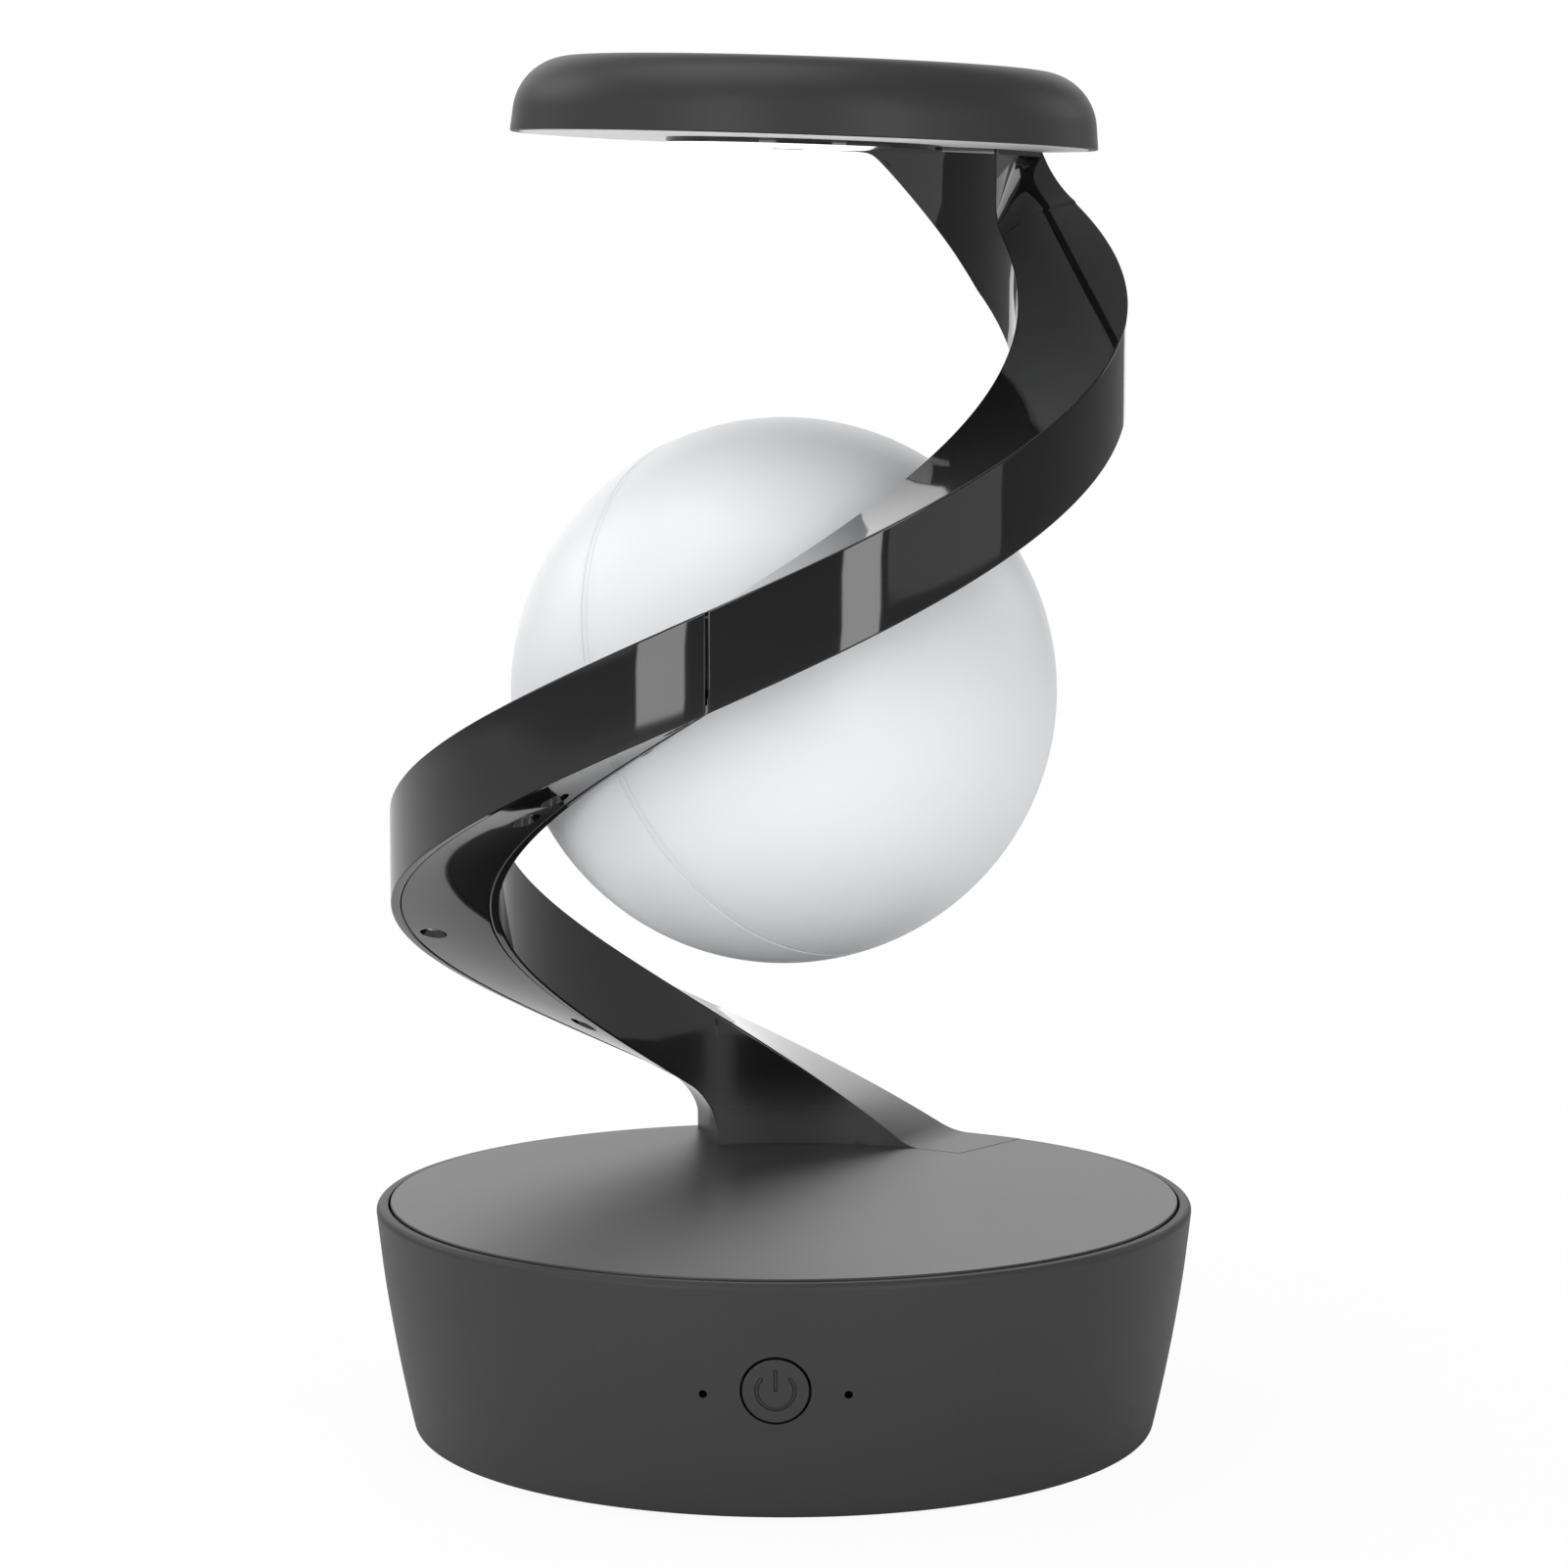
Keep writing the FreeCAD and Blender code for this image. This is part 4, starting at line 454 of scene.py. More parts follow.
@dataclass(frozen=True)
class Metal:
    """Plain, plated or brushed metal with fine lines and dull patches."""

    name: str
    level: float
    roughness: float = 0.32
    lines: float = 0.15
    warm: float = 0.0
    dark: Tint = (0.82, 0.81, 0.8)
    bright: Tint = (1.08, 1.07, 1.05)
    patch: float = 90.0
    patch_spread: float = 0.2
    scratch: float = 160.0
    scratch_stretch: float = 40.0
    scratch_depth: float = 0.00003
    patch_detail: tuple[float, float] = (5.0, 0.6)
    scratch_detail: tuple[float, float] = (3.0, 0.6)
    scratch_strength: float = 0.2
    smoothest: float = 0.05

    def material(self) -> bpy.types.Material:
        """Make the material.

        Returns:
            The material.
        """
        tree = ShaderTree(self.name)
        patch = tree.noise(self.patch, *self.patch_detail)
        along = tree.stretched(1.0, self.scratch_stretch, self.scratch_stretch)
        lines = tree.noise(self.scratch, *self.scratch_detail, along)
        low, high = ((self.level * red, self.level * green, self.level * (blue - self.warm), 1.0)
                     for red, green, blue in (self.dark, self.bright))
        rough = self.roughness + (patch - 0.5) * self.patch_spread + (lines - 0.5) * self.lines
        normal = tree.bump(lines, self.scratch_strength, self.scratch_depth)
        return tree.finish({"Base Color": tree.blend(patch, low, high), "Metallic": 1.0, "Normal": normal,
                            "Roughness": held(rough, self.smoothest, 1.0)})


@dataclass(frozen=True)
class Board:
    """Printed board: solder mask with copper tracks that show through and tinned pads."""

    name: str
    mask: Colour
    track: Colour
    pad: Colour = (0.62, 0.6, 0.55, 1.0)
    track_rate: float = 2600.0
    sway_rate: float = 300.0
    sway: float = 2.0
    track_edge: tuple[float, float] = (0.82, 0.9)
    track_depth: float = 0.00005
    area_rate: float = 60.0
    area_edge: tuple[float, float] = (0.46, 0.52)
    roughness: float = 0.38
    pad_rate: float = 260.0
    pad_size: tuple[float, float] = (0.12, 0.16)
    pad_gloss: float = 0.12
    pad_metal: float = 0.85
    area_detail: tuple[float, float] = (1.0, 0.3)
    track_share: float = 0.7
    track_strength: float = 0.4
    dull_rate: float = 200.0
    dull: float = 0.15
    smoothest: float = 0.05
    coat: float = 0.2

    def material(self) -> bpy.types.Material:
        """Make the material.

        Returns:
            The material.
        """
        tree = ShaderTree(self.name)
        x, y, _z = tree.parts(tree.space)
        across = abs(sine(x * self.track_rate + sine(y * self.sway_rate) * self.sway))
        area = tree.noise(self.area_rate, *self.area_detail)
        tracks = ramp(across, *self.track_edge) * ramp(area, *self.area_edge)
        pads = 1.0 - ramp(tree.cells(self.pad_rate), *self.pad_size)
        colour = tree.blend(tracks * self.track_share, self.mask, self.track)
        colour = tree.blend(pads, colour, self.pad)
        rough = self.roughness + tree.noise(self.dull_rate) * self.dull - pads * self.pad_gloss
        normal = tree.bump(tracks + pads, self.track_strength, self.track_depth)
        return tree.finish({"Base Color": colour, "Roughness": held(rough, self.smoothest, 1.0),
                            "Metallic": pads * self.pad_metal, "Normal": normal, "Coat Weight": self.coat})


@dataclass(frozen=True)
class Lens:
    """Lamp lens over its yellow phosphor."""

    name: str
    colour: Colour
    through: float = 0.3
    roughness: float = 0.12
    rough_spread: float = 0.15
    coat: float = 0.6
    cloud: float = 900.0
    dark: float = 0.82
    ripple_depth: float = 0.00002
    ripple_strength: float = 0.1

    def material(self) -> bpy.types.Material:
        """Make the material.

        Returns:
            The material.
        """
        tree = ShaderTree(self.name)
        cloud = tree.noise(self.cloud)
        dark = tuple(part * self.dark for part in self.colour[:3]) + (1.0,)
        return tree.finish({"Base Color": tree.blend(cloud, dark, self.colour),
                            "Roughness": held(self.roughness + cloud * self.rough_spread),
                            "Normal": tree.bump(cloud, self.ripple_strength, self.ripple_depth),
                            "Transmission Weight": self.through, "Coat Weight": self.coat})


Finish = Union[Moulding, Metal, Board, Lens]

ARM_GLOSS = Moulding("arm_gloss_finish", 0.006, 0.0003, roughness=0.05, rough_spread=0.02, grain=5200.0,
                     grain_depth=0.000006, grain_strength=0.04, wave_strength=0.02, dust=0.15)
DECK_GLOSS = replace(ARM_GLOSS, name="arm_gloss_and_satin_deck", satin_below=0.0442, satin_rough=0.36,
                     satin_fade=0.014)
BASE_MATTE = Moulding("base_fine_texture", 0.033, 0.0006, roughness=0.5, rough_spread=0.06, grain=7600.0,
                      grain_depth=0.00002, grain_strength=0.22, dust=0.1, specular=0.34)
HEAD_MATTE = Moulding("head_fine_texture", 0.027, 0.0004, roughness=0.46, rough_spread=0.06, grain=7600.0,
                      grain_depth=0.00002, grain_strength=0.2, dust=0.1, specular=0.3)
BUTTON_MATTE = Moulding("button_fine_texture", 0.024, 0.001, roughness=0.45, grain=8200.0,
                        grain_depth=0.00001, grain_strength=0.2)
BALL_WHITE = Moulding("ball_satin_white", 0.86, 0.028, spread=0.02, roughness=0.42, rough_spread=0.05,
                      grain=3000.0, grain_depth=0.00001, grain_strength=0.06, coat=0.1, coat_rough=0.3,
                      through=0.2)
DIFFUSER = Moulding("opal_diffuser", 0.82, 0.004, spread=0.02, roughness=0.42, grain=4000.0,
                    grain_depth=0.00001, grain_strength=0.08, through=0.25)
INNER_WHITE = Moulding("inner_white_moulding", 0.7, 0.0, spread=0.05, roughness=0.5, grain=3000.0,
                       grain_depth=0.00002)
RUBBER = Moulding("dull_rubber", 0.022, 0.0, roughness=0.8, grain=2600.0, grain_depth=0.00005,
                  grain_strength=0.5, dust=0.3, specular=0.3)
CABLE = Moulding("flat_cable_jacket", 0.35, 0.0, roughness=0.5, grain=1800.0, grain_depth=0.00003)
WRAP = Moulding("cell_wrap_film", 0.12, 0.16, roughness=0.22, grain=700.0, grain_depth=0.00003,
                grain_strength=0.2, coat=0.5)
CHIP = Moulding("moulded_component", 0.018, 0.0, roughness=0.55, grain=5000.0, grain_depth=0.00002)
STEEL = Metal("plated_steel", 0.6, 0.3)
SCREW = Metal("zinc_plated_screw", 0.46, 0.36, warm=0.03)
ALUMINIUM = Metal("rolled_aluminium", 0.78, 0.38, 0.3)
GREEN_BOARD = Board("green_solder_mask", (0.01, 0.12, 0.045, 1.0), (0.03, 0.22, 0.08, 1.0))
WHITE_BOARD = Board("white_solder_mask", (0.78, 0.78, 0.77, 1.0), (0.66, 0.66, 0.64, 1.0))
LED_LENS = Lens("lamp_lens", (0.95, 0.8, 0.35, 1.0))
# Light pipes: smoked plastic in the pin holes beside the button. Their near-black colour and almost missing
# shine are partly their own dark tint and partly painted shade of the recessed holes.
SMOKED_PIPE_AND_HOLE_SHADE = Moulding("smoked_light_pipe", 0.0008, 0.0, roughness=0.9, grain=4000.0, grain_depth=0.00001,
                specular=0.02)

NODE_FINISHES = {
    "anti_slip_ring": RUBBER, "arm_magnet": STEEL, "arm_wiring": CABLE, "ball_battery": WRAP,
    "ball_board_posts": INNER_WHITE, "ball_frame": INNER_WHITE, "ball_keeper_plate": STEEL,
    "ball_light_boards": WHITE_BOARD, "ballast_plate": STEEL, "board_components": CHIP,
    "bottom_cover": BASE_MATTE, "button_board": GREEN_BOARD, "button_switch": CHIP,
    "head_chassis": ALUMINIUM, "head_light_board": WHITE_BOARD, "indicator_light_pipes": SMOKED_PIPE_AND_HOLE_SHADE,
    "magnet_cap": ARM_GLOSS, "main_board": GREEN_BOARD, "usb_c_inlet": STEEL,
    "board_screws": SCREW, "bottom_cover_screws": SCREW, "deck_screws": SCREW, "head_shell_screws": SCREW,
    "head_stud_screws": SCREW,
}


class Wardrobe:
    """Makes each finish once and hands out its material."""

    def __init__(self) -> None:
        """Start empty."""
        self.made: dict[str, bpy.types.Material] = {}

    def take(self, finish: Finish) -> bpy.types.Material:
        """Material of a finish.

        Args:
            finish: the finish.

        Returns:
            Its material, made the first time that it is taken.
        """
        if finish.name not in self.made:
            self.made[finish.name] = finish.material()
        return self.made[finish.name]

    def put_on(self, made: bpy.types.Object, finish: Finish) -> None:
        """Give an object one finish in place of its own materials."""
        made.data.materials.clear()
        made.data.materials.append(self.take(finish))


# ---------------------------------------------------------------- mesh tools


def arc(middle: Vector, start: Vector, end: Vector, steps: int) -> list[Point]:
    """Points of the shorter arc between two points round a middle, both ends included.

    Args:
        middle: middle of the arc.
        start: first end.
        end: second end.
        steps: spans of the arc.

    Returns:
        The points in order.
    """
    first, last = start - middle, end - middle
    low = math.atan2(first.y, first.x)
    swing = (math.atan2(last.y, last.x) - low + math.pi) % (2 * math.pi) - math.pi
    spots = (on_circle(first.length, low + swing * step / steps) for step in range(steps + 1))
    return [(middle.x + x, middle.y + y) for x, y in spots]


def on_circle(radius: float, turn: float) -> Point:
    """Place on a circle round the origin at an angle in radians."""
    return radius * math.cos(turn), radius * math.sin(turn)


def quarter(spot: Point, across: float, up: float, steps: int, first: int = 0) -> list[Point]:
    """Points of a quarter rounding of an edge.

    Args:
        spot: across where the rounding ends and up where it starts.
        across: reach of the rounding across.
        up: reach of the rounding upwards.
        steps: spans of the rounding.
        first: number of the first point that is wanted.

    Returns:
        The points in order.
    """
    turns = (math.pi / 2 * step / steps for step in range(first, steps + 1))
    return [(spot[0] + across * (1 - math.sin(turn)), spot[1] + up * (1 - math.cos(turn)))
            for turn in turns]


def rounded(corners: Sequence[Corner], steps: int = EDGE_STEPS) -> list[Point]:
    """Closed outline whose corners are rounded.

    Args:
        corners: across, up and rounding radius of each corner.
        steps: spans of each rounding.

    Returns:
        The points of the outline.
    """
    points: list[Point] = []
    for index, (x, y, radius) in enumerate(corners):
        if radius <= 0:
            points.append((x, y))
            continue
        here = Vector((x, y))
        before = (Vector(corners[index - 1][:2]) - here).normalized()
        after = (Vector(corners[(index + 1) % len(corners)][:2]) - here).normalized()
        half = math.acos(max(-1.0, min(1.0, before.dot(after)))) / 2
        middle = here + (before + after).normalized() * (radius / math.sin(half))
        reach = radius / math.tan(half)
        points += arc(middle, here + before * reach, here + after * reach, steps)
    return points


def bow_middle(low: Vector, high: Vector, radius: float) -> Vector:
    """Middle of the arc that bows outwards between two points.

    Args:
        low: first end of the arc.
        high: second end of the arc.
        radius: radius of the arc.

    Returns:
        The middle.
    """
    chord = high - low
    side = Vector((chord.y, -chord.x)).normalized()
    return (low + high) / 2 - side * math.sqrt(radius ** 2 - (chord.length / 2) ** 2)


def bowed(start: Point, end: Point, radius: float, steps: int = 24) -> list[Point]:
    """Points between two points on an arc that bows outwards, without the ends."""
    low, high = Vector(start), Vector(end)
    return arc(bow_middle(low, high, radius), low, high, steps)[1:-1]


def lean_lift(y: Value) -> Value:
    """Extra height of the deck and the rim at a place: nothing at the back, most at the front."""
    return (LEAN_REACH - y) * (LEAN / (2 * LEAN_REACH))


def leaned(made: bpy.types.Object, low: float, high: float) -> bpy.types.Object:
    """Lift a mesh by the lean of the deck, growing from one height to another.

    Args:
        made: the object.
        low: height under which nothing is lifted.
        high: height above which all of it is.

    Returns:
        The same object.
    """
    for vertex in made.data.vertices:
        vertex.co.z += lean_lift(vertex.co.y) * ramp(vertex.co.z, low, high)
    return made


def linked(name: str, data: bpy.types.ID) -> bpy.types.Object:
    """New object in the scene that shows some data.

    Args:
        name: name of the object.
        data: a mesh, a light or a camera.

    Returns:
        The object, at the origin.
    """
    made = bpy.data.objects.new(name, data)
    bpy.context.scene.collection.objects.link(made)
    return made


def cleaned(mesh: bpy.types.Mesh, reach: float = SAME_SPOT) -> bpy.types.Mesh:
    """Join a mesh's double points and turn its faces outwards.

    Args:
        mesh: the mesh.
        reach: distance under which two points are one.

    Returns:
        The same mesh.
    """
    form = bmesh.new()
    form.from_mesh(mesh)
    bmesh.ops.remove_doubles(form, verts=form.verts, dist=reach)
    bmesh.ops.recalc_face_normals(form, faces=form.faces)
    form.to_mesh(mesh)
    form.free()
    return mesh


def mesh_object(name: str, points: Sequence[Sequence[float]], faces: Sequence[Sequence[int]],
                place: Matrix | None = None) -> bpy.types.Object:
    """Object with a closed mesh whose faces point outwards.

    Args:
        name: name of the object.
        points: vertices.
        faces: corner lists.
        place: where the mesh goes.

    Returns:
        The new object, at the origin.
    """
    mesh = bpy.data.meshes.new(name)
    mesh.from_pydata([tuple(point) for point in points], [], [tuple(face) for face in faces])
    if place is not None:
        mesh.transform(place)
    return linked(name, cleaned(mesh))


def prism(name: str, outline: Sequence[Point], low: float, high: float, place: Matrix) -> bpy.types.Object:
    """Straight bar on a closed outline.

    Args:
        name: name of the object.
        outline: across and up of each point.
        low: height where the bar starts.
        high: height where it ends.
        place: where the bar goes.

    Returns:
        The new object.
    """
    count = len(outline)
    points = [(x, y, z) for z in (low, high) for x, y in outline]
    faces = [(n, (n + 1) % count, count + (n + 1) % count, count + n) for n in range(count)]
    faces += [tuple(range(count)), tuple(range(count, 2 * count))]
    return mesh_object(name, points, faces, place)


def turned(name: str, outline: Sequence[Point], place: Matrix | None = None,
           turns: int = TURNS) -> bpy.types.Object:
    """Solid turned round the upright axis from a closed outline.

    Args:
        name: name of the object.
        outline: radius and height of each point.
        place: where the solid goes.
        turns: number of steps round.

    Returns:
        The new object.
    """
    points: list[tuple[float, float, float]] = []
    rings: list[list[int]] = []
    for radius, height in outline:
        if radius < SAME_SPOT:
            rings.append([len(points)] * turns)
            points.append((0.0, 0.0, height))
            continue
        rings.append(list(range(len(points), len(points) + turns)))
        points += [(*on_circle(radius, 2 * math.pi * step / turns), height) for step in range(turns)]
    faces = []
    for ring, after in zip(rings, rings[1:] + rings[:1]):
        for step in range(turns):
            onward = (step + 1) % turns
            face = []
            for corner in (ring[step], ring[onward], after[onward], after[step]):
                if corner not in face:
                    face.append(corner)
            if len(face) > 2:
                faces.append(face)
    return mesh_object(name, points, faces, place)


def plain(made: bpy.types.Object) -> bpy.types.Object:
    """Turn the live modifiers of a piece into its plain mesh.

    Args:
        made: the piece.

    Returns:
        The same piece, with the same look and no modifiers.
    """
    bpy.context.view_layer.update()
    graph = bpy.context.evaluated_depsgraph_get()
    mesh = bpy.data.meshes.new_from_object(made.evaluated_get(graph))
    made.modifiers.clear()
    old = made.data
    made.data = mesh
    bpy.data.meshes.remove(old)
    mesh.name = made.name
    return made


def shade(made: bpy.types.Object, degrees: float = 32.0) -> bpy.types.Object:
    """Shade a piece smooth: sharp edges stay, and broad faces keep their own direction at small roundings.

    Args:
        made: the piece.
        degrees: angle between faces above which an edge is sharp.

    Returns:
        The same piece.
    """
    made.data.shade_smooth()
    made.data.set_sharp_from_angle(angle=math.radians(degrees))
    modifier = made.modifiers.new("weighted", "WEIGHTED_NORMAL")
    modifier.mode = "FACE_AREA"
    modifier.keep_sharp = True
    return plain(made)


def carved(made: bpy.types.Object, cutters: Sequence[bpy.types.Object]) -> bpy.types.Object:
    """Take the cutters out of a piece.

    Args:
        made: the piece.
        cutters: what is taken out; they are used up.

    Returns:
        The same piece.
    """
    for cutter in cutters:
        modifier = made.modifiers.new("cut", "BOOLEAN")
        modifier.operation = "DIFFERENCE"
        modifier.solver = "EXACT"
        modifier.object = cutter
    plain(made)
    for cutter in cutters:
        bpy.data.objects.remove(cutter)
    return made


def merged(name: str, pieces: Sequence[bpy.types.Object]) -> bpy.types.Object:
    """One object of several meshes, each kept as its own closed shell.

    Args:
        name: name of the object.
        pieces: the objects; they are used up.

    Returns:
        The new object.
    """
    form = bmesh.new()
    for piece in pieces:
        form.from_mesh(piece.data)
        bpy.data.objects.remove(piece)
    mesh = bpy.data.meshes.new(name)
    form.to_mesh(mesh)
    form.free()
    return linked(name, mesh)


def stood_up(name: str, shape: bpy.types.Object, spot: Vector, way: Vector) -> bpy.types.Object:
    """Move a mesh whose axis is +Z so that it starts at a spot and points a way.

    Args:
        name: new name of the mesh's object.
        shape: the object.
        spot: where its origin goes.
        way: where its +Z points.

    Returns:
        The same object.
    """
    shape.data.transform(Matrix.Translation(spot) @ way.to_track_quat("Z", "Y").to_matrix().to_4x4())
    shape.name = name
    return shape


class GeometryTree(Tree):
    """Geometry tree with named inputs that ends in real, dressed geometry."""

    def __init__(self, name: str, kinds: dict[str, str]) -> None:
        """Start a tree.

        Args:
            name: name of the tree.
            kinds: kind of each named input; one of them is the Finish.
        """
        group = bpy.data.node_groups.new(name, "GeometryNodeTree")
        super().__init__(group)
        for way in ("INPUT", "OUTPUT"):
            group.interface.new_socket("Geometry", in_out=way, socket_type="NodeSocketGeometry")
        self.sockets = {}
        for key, kind in kinds.items():
            made = group.interface.new_socket(key, in_out="INPUT", socket_type="NodeSocket" + kind)
            self.sockets[key] = made.identifier
        self.start = group.nodes.new("NodeGroupInput")
        self.end = group.nodes.new("NodeGroupOutput")

    def close(self, geometry: bpy.types.NodeSocket) -> None:
        """End the tree: instances are made real and take the finish.

        Args:
            geometry: the geometry.
        """
        real = self.node("GeometryNodeRealizeInstances", inputs={"Geometry": geometry})
        dressed = self.node("GeometryNodeSetMaterial", inputs={
            "Geometry": real.outputs[0], "Material": self.start.outputs["Finish"]})
        self.feed(self.end.inputs[0], dressed.outputs[0])

    def run(self, made: bpy.types.Object, values: dict[str, object]) -> bpy.types.Object:
        """Run the tree on an object, keep the plain mesh and drop the tree.

        Args:
            made: the object.
            values: what the named inputs are set to.

        Returns:
            The same object.
        """
        modifier = made.modifiers.new("tree", "NODES")
        modifier.node_group = self.tree
        for key, value in values.items():
            modifier[self.sockets[key]] = value
        plain(made)
        bpy.data.node_groups.remove(self.tree)
        return made


@dataclass
class Assembly:
    """Sub-assembly that dresses its pieces and sets them on their bodies."""

    wardrobe: Wardrobe

    def dress(self, made: bpy.types.Object, finish: Finish, body: Body,
              slot: str, *nodes: str) -> bpy.types.Object:
        """Give a piece its finish, its body and the nodes that it stands for.

        Args:
            made: the piece.
            finish: its finish.
            body: the body that it rides on.
            slot: not used.
            nodes: nodes that it replaces.

        Returns:
            The piece.
        """
        self.wardrobe.put_on(made, finish)
        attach(made, body.value)
        if nodes:
            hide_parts(*nodes)
        LOG.info("%s: %d faces on %s", made.name, len(made.data.polygons), body.value)
        return made


# ---------------------------------------------------------------- base


@dataclass
class Base(Assembly):
    """Tapered housing with its button and openings."""

    rim_radius: float = 0.075
    rim_height: float = 0.042
    foot_radius: float = 0.068
    standoff: float = 0.001
    bow: float = 0.34
    guide: float = 0.003
    rim_round: float = 0.0012
    rim_inner_round: float = 0.00022
    foot_round: float = 0.0015
    deck_hole: float = 0.0727
    seat_height: float = 0.0392
    seat_width: float = 0.0025
    seat_thick: float = 0.0022
    seat_slope: float = 0.0038
    upper_wall: float = 0.0036
    lower_wall: float = 0.0018
    lean_reach: tuple[float, float] = (0.014, 0.002)
    flange_radius: float = 0.058
    flange_low: float = 0.0032
    flange_thick: float = 0.002
    cover_hole: float = 0.0653
    button_height: float = 0.0247
    button_radius: float = 0.00572
    button_gap: float = 0.0004
    button_proud: float = 0.0003
    button_edge: float = 0.00028
    button_eye: float = 0.00002
    button_rings: int = 72
    button_turns: int = 216
    button_depth: float = 0.003
    button_flange: float = 0.0682
    button_flange_radius: float = 0.0075
    button_flange_thick: float = 0.0012
    flange_turns: int = 96
    hole_edge: float = 0.00012
    hole_turns: int = 96
    pin_spacing: float = 0.01245
    pin_drop: float = 0.0009
    pin_radius: float = 0.00072
    pin_edge: float = 0.0001
    cutter_out: float = 0.002
    cutter_in: float = 0.008
    cutter_flare: float = 0.0006
    cutter_near: float = 0.001
    inlet_width: float = 0.00894
    inlet_rise: float = 0.00326
    inlet_gap: float = 0.00025
    inlet_height: float = 0.01823
    inlet_round: float = 0.98
    inlet_steps: int = 12
    inlet_reach: tuple[float, float] = (0.062, 0.08)
    symbol_radius: float = 0.00328
    symbol_stroke: float = 0.00034
    symbol_depth: float = 0.00042
    symbol_break: float = 0.86
    symbol_bar: tuple[float, float] = (0.0003, 0.00362)
    symbol_slope: tuple[float, float] = (0.65, 1.1)

    def wall_radius(self, height: float) -> float:
        """Radius of the outer wall at a height.

        Args:
            height: the height.

        Returns:
            The radius.
        """
        low, high = Vector((self.foot_radius, self.standoff)), Vector((self.rim_radius, self.rim_height))
        middle = bow_middle(low, high, self.bow)
        return middle.x + math.sqrt(self.bow ** 2 - (height - middle.y) ** 2)

    def housing_outline(self) -> list[Point]:
        """Closed outline of the housing's wall.

        Returns:
            Radius and height of each point.
        """
        low, high = self.standoff + self.guide, self.rim_height - self.guide
        first, last = (self.wall_radius(low), low), (self.wall_radius(high), high)
        seat, flange_top = self.deck_hole - self.seat_width, self.flange_low + self.flange_thick
        outline = rounded([
            (self.cover_hole, self.standoff, 0.0), (self.foot_radius, self.standoff, self.foot_round),
            (*first, 0.0), (*last, 0.0), (self.rim_radius, self.rim_height, self.rim_round),
            (self.deck_hole, self.rim_height, self.rim_inner_round), (self.deck_hole, self.seat_height, 0.0),
            (seat, self.seat_height, 0.0), (seat, self.seat_height - self.seat_thick, 0.0),
            (self.rim_radius - self.upper_wall, self.seat_height - self.seat_slope, 0.0),
            (self.foot_radius - self.lower_wall, flange_top, 0.0), (self.flange_radius, flange_top, 0.0),
            (self.flange_radius, self.flange_low, 0.0), (self.cover_hole, self.flange_low, 0.0)])
        split = outline.index(first) + 1
        return outline[:split] + bowed(first, last, self.bow) + outline[split:]

    def wall_cutter(self, name: str, x: float, height: float, radius: float,
                    flare: float) -> bpy.types.Object:
        """Plug that follows the wall, for a round hole with a softened edge.

        Args:
            name: name of the object.
            x: sideways place of the hole.
            height: height of the hole.
            radius: radius of the hole.
            flare: size of its softened edge.

        Returns:
            The cutter.
        """
        rings = [(radius + flare + self.cutter_flare * share, -self.cutter_out * share)
                 for share in (1.0, self.cutter_near)]
        rings += quarter((radius, 0.0), flare, flare, BEVEL_STEPS)
        rings.append((radius, self.cutter_in))
        return self.wall_form(name, x, height, rings, self.hole_turns)

    def wall_form(self, name: str, x: float, height: float, rings: Sequence[Point], turns: int,
                  lift: Callable[[float, float], float] | None = None) -> bpy.types.Object:
        """Solid of rings that follow the wall, closed at both ends.

        Args:
            name: name of the object.
            x: sideways place of its axis.
            height: height of its axis.
            rings: radius and depth under the wall of each ring.
            turns: steps round.
            lift: extra depth at a sideways and upward place.

        Returns:
            The new object.
        """
        points, faces = [], []
        for radius, depth in rings:
            for step in range(turns):
                across, up = on_circle(radius, 2 * math.pi * step / turns)
                wall = math.sqrt(self.wall_radius(height + up) ** 2 - (x + across) ** 2)
                extra = lift(across, up) if lift else 0.0
                points.append((x + across, -(wall - depth - extra), height + up))
        for ring in range(len(rings) - 1):
            for step in range(turns):
                onward = (step + 1) % turns
                low, high = ring * turns, (ring + 1) * turns
                faces.append((low + step, low + onward, high + onward, high + step))
        faces.append(tuple(range(turns)))
        faces.append(tuple(range((len(rings) - 1) * turns, len(rings) * turns)))
        return mesh_object(name, points, faces)

    def make_housing(self) -> None:
        """Housing with its button hole, pin holes and inlet slot."""
        housing = leaned(turned("housing", self.housing_outline()),
                         *(self.rim_height - reach for reach in self.lean_reach))
        holes = [("button_hole", 0.0, self.button_height, self.button_radius + self.button_gap,
                  self.hole_edge)]
        holes += [("pin_hole", side * self.pin_spacing, self.button_height - self.pin_drop, self.pin_radius,
                   self.pin_edge) for side in (-1, 1)]
        shade(carved(housing, [self.wall_cutter(*hole) for hole in holes] + [self.inlet_cutter()]))
        self.dress(housing, BASE_MATTE, Body.LAMP, "base_plastic", "base_housing")

    def inlet_cutter(self) -> bpy.types.Object:
        """Rounded bar that cuts the inlet slot through the rear wall.

        Returns:
            The cutter.
        """
        half = self.inlet_width / 2 + self.inlet_gap
        end = self.inlet_rise / 2 + self.inlet_gap
        outline = rounded([(half * side, end * up, end * self.inlet_round)
                           for side, up in ((1, 1), (-1, 1), (-1, -1), (1, -1))], self.inlet_steps)
        place = Matrix.Translation((0.0, 0.0, self.inlet_height)) @ Matrix.Rotation(math.pi / 2, 4, "X")
        return prism("inlet_slot", outline, -self.inlet_reach[1], -self.inlet_reach[0], place)

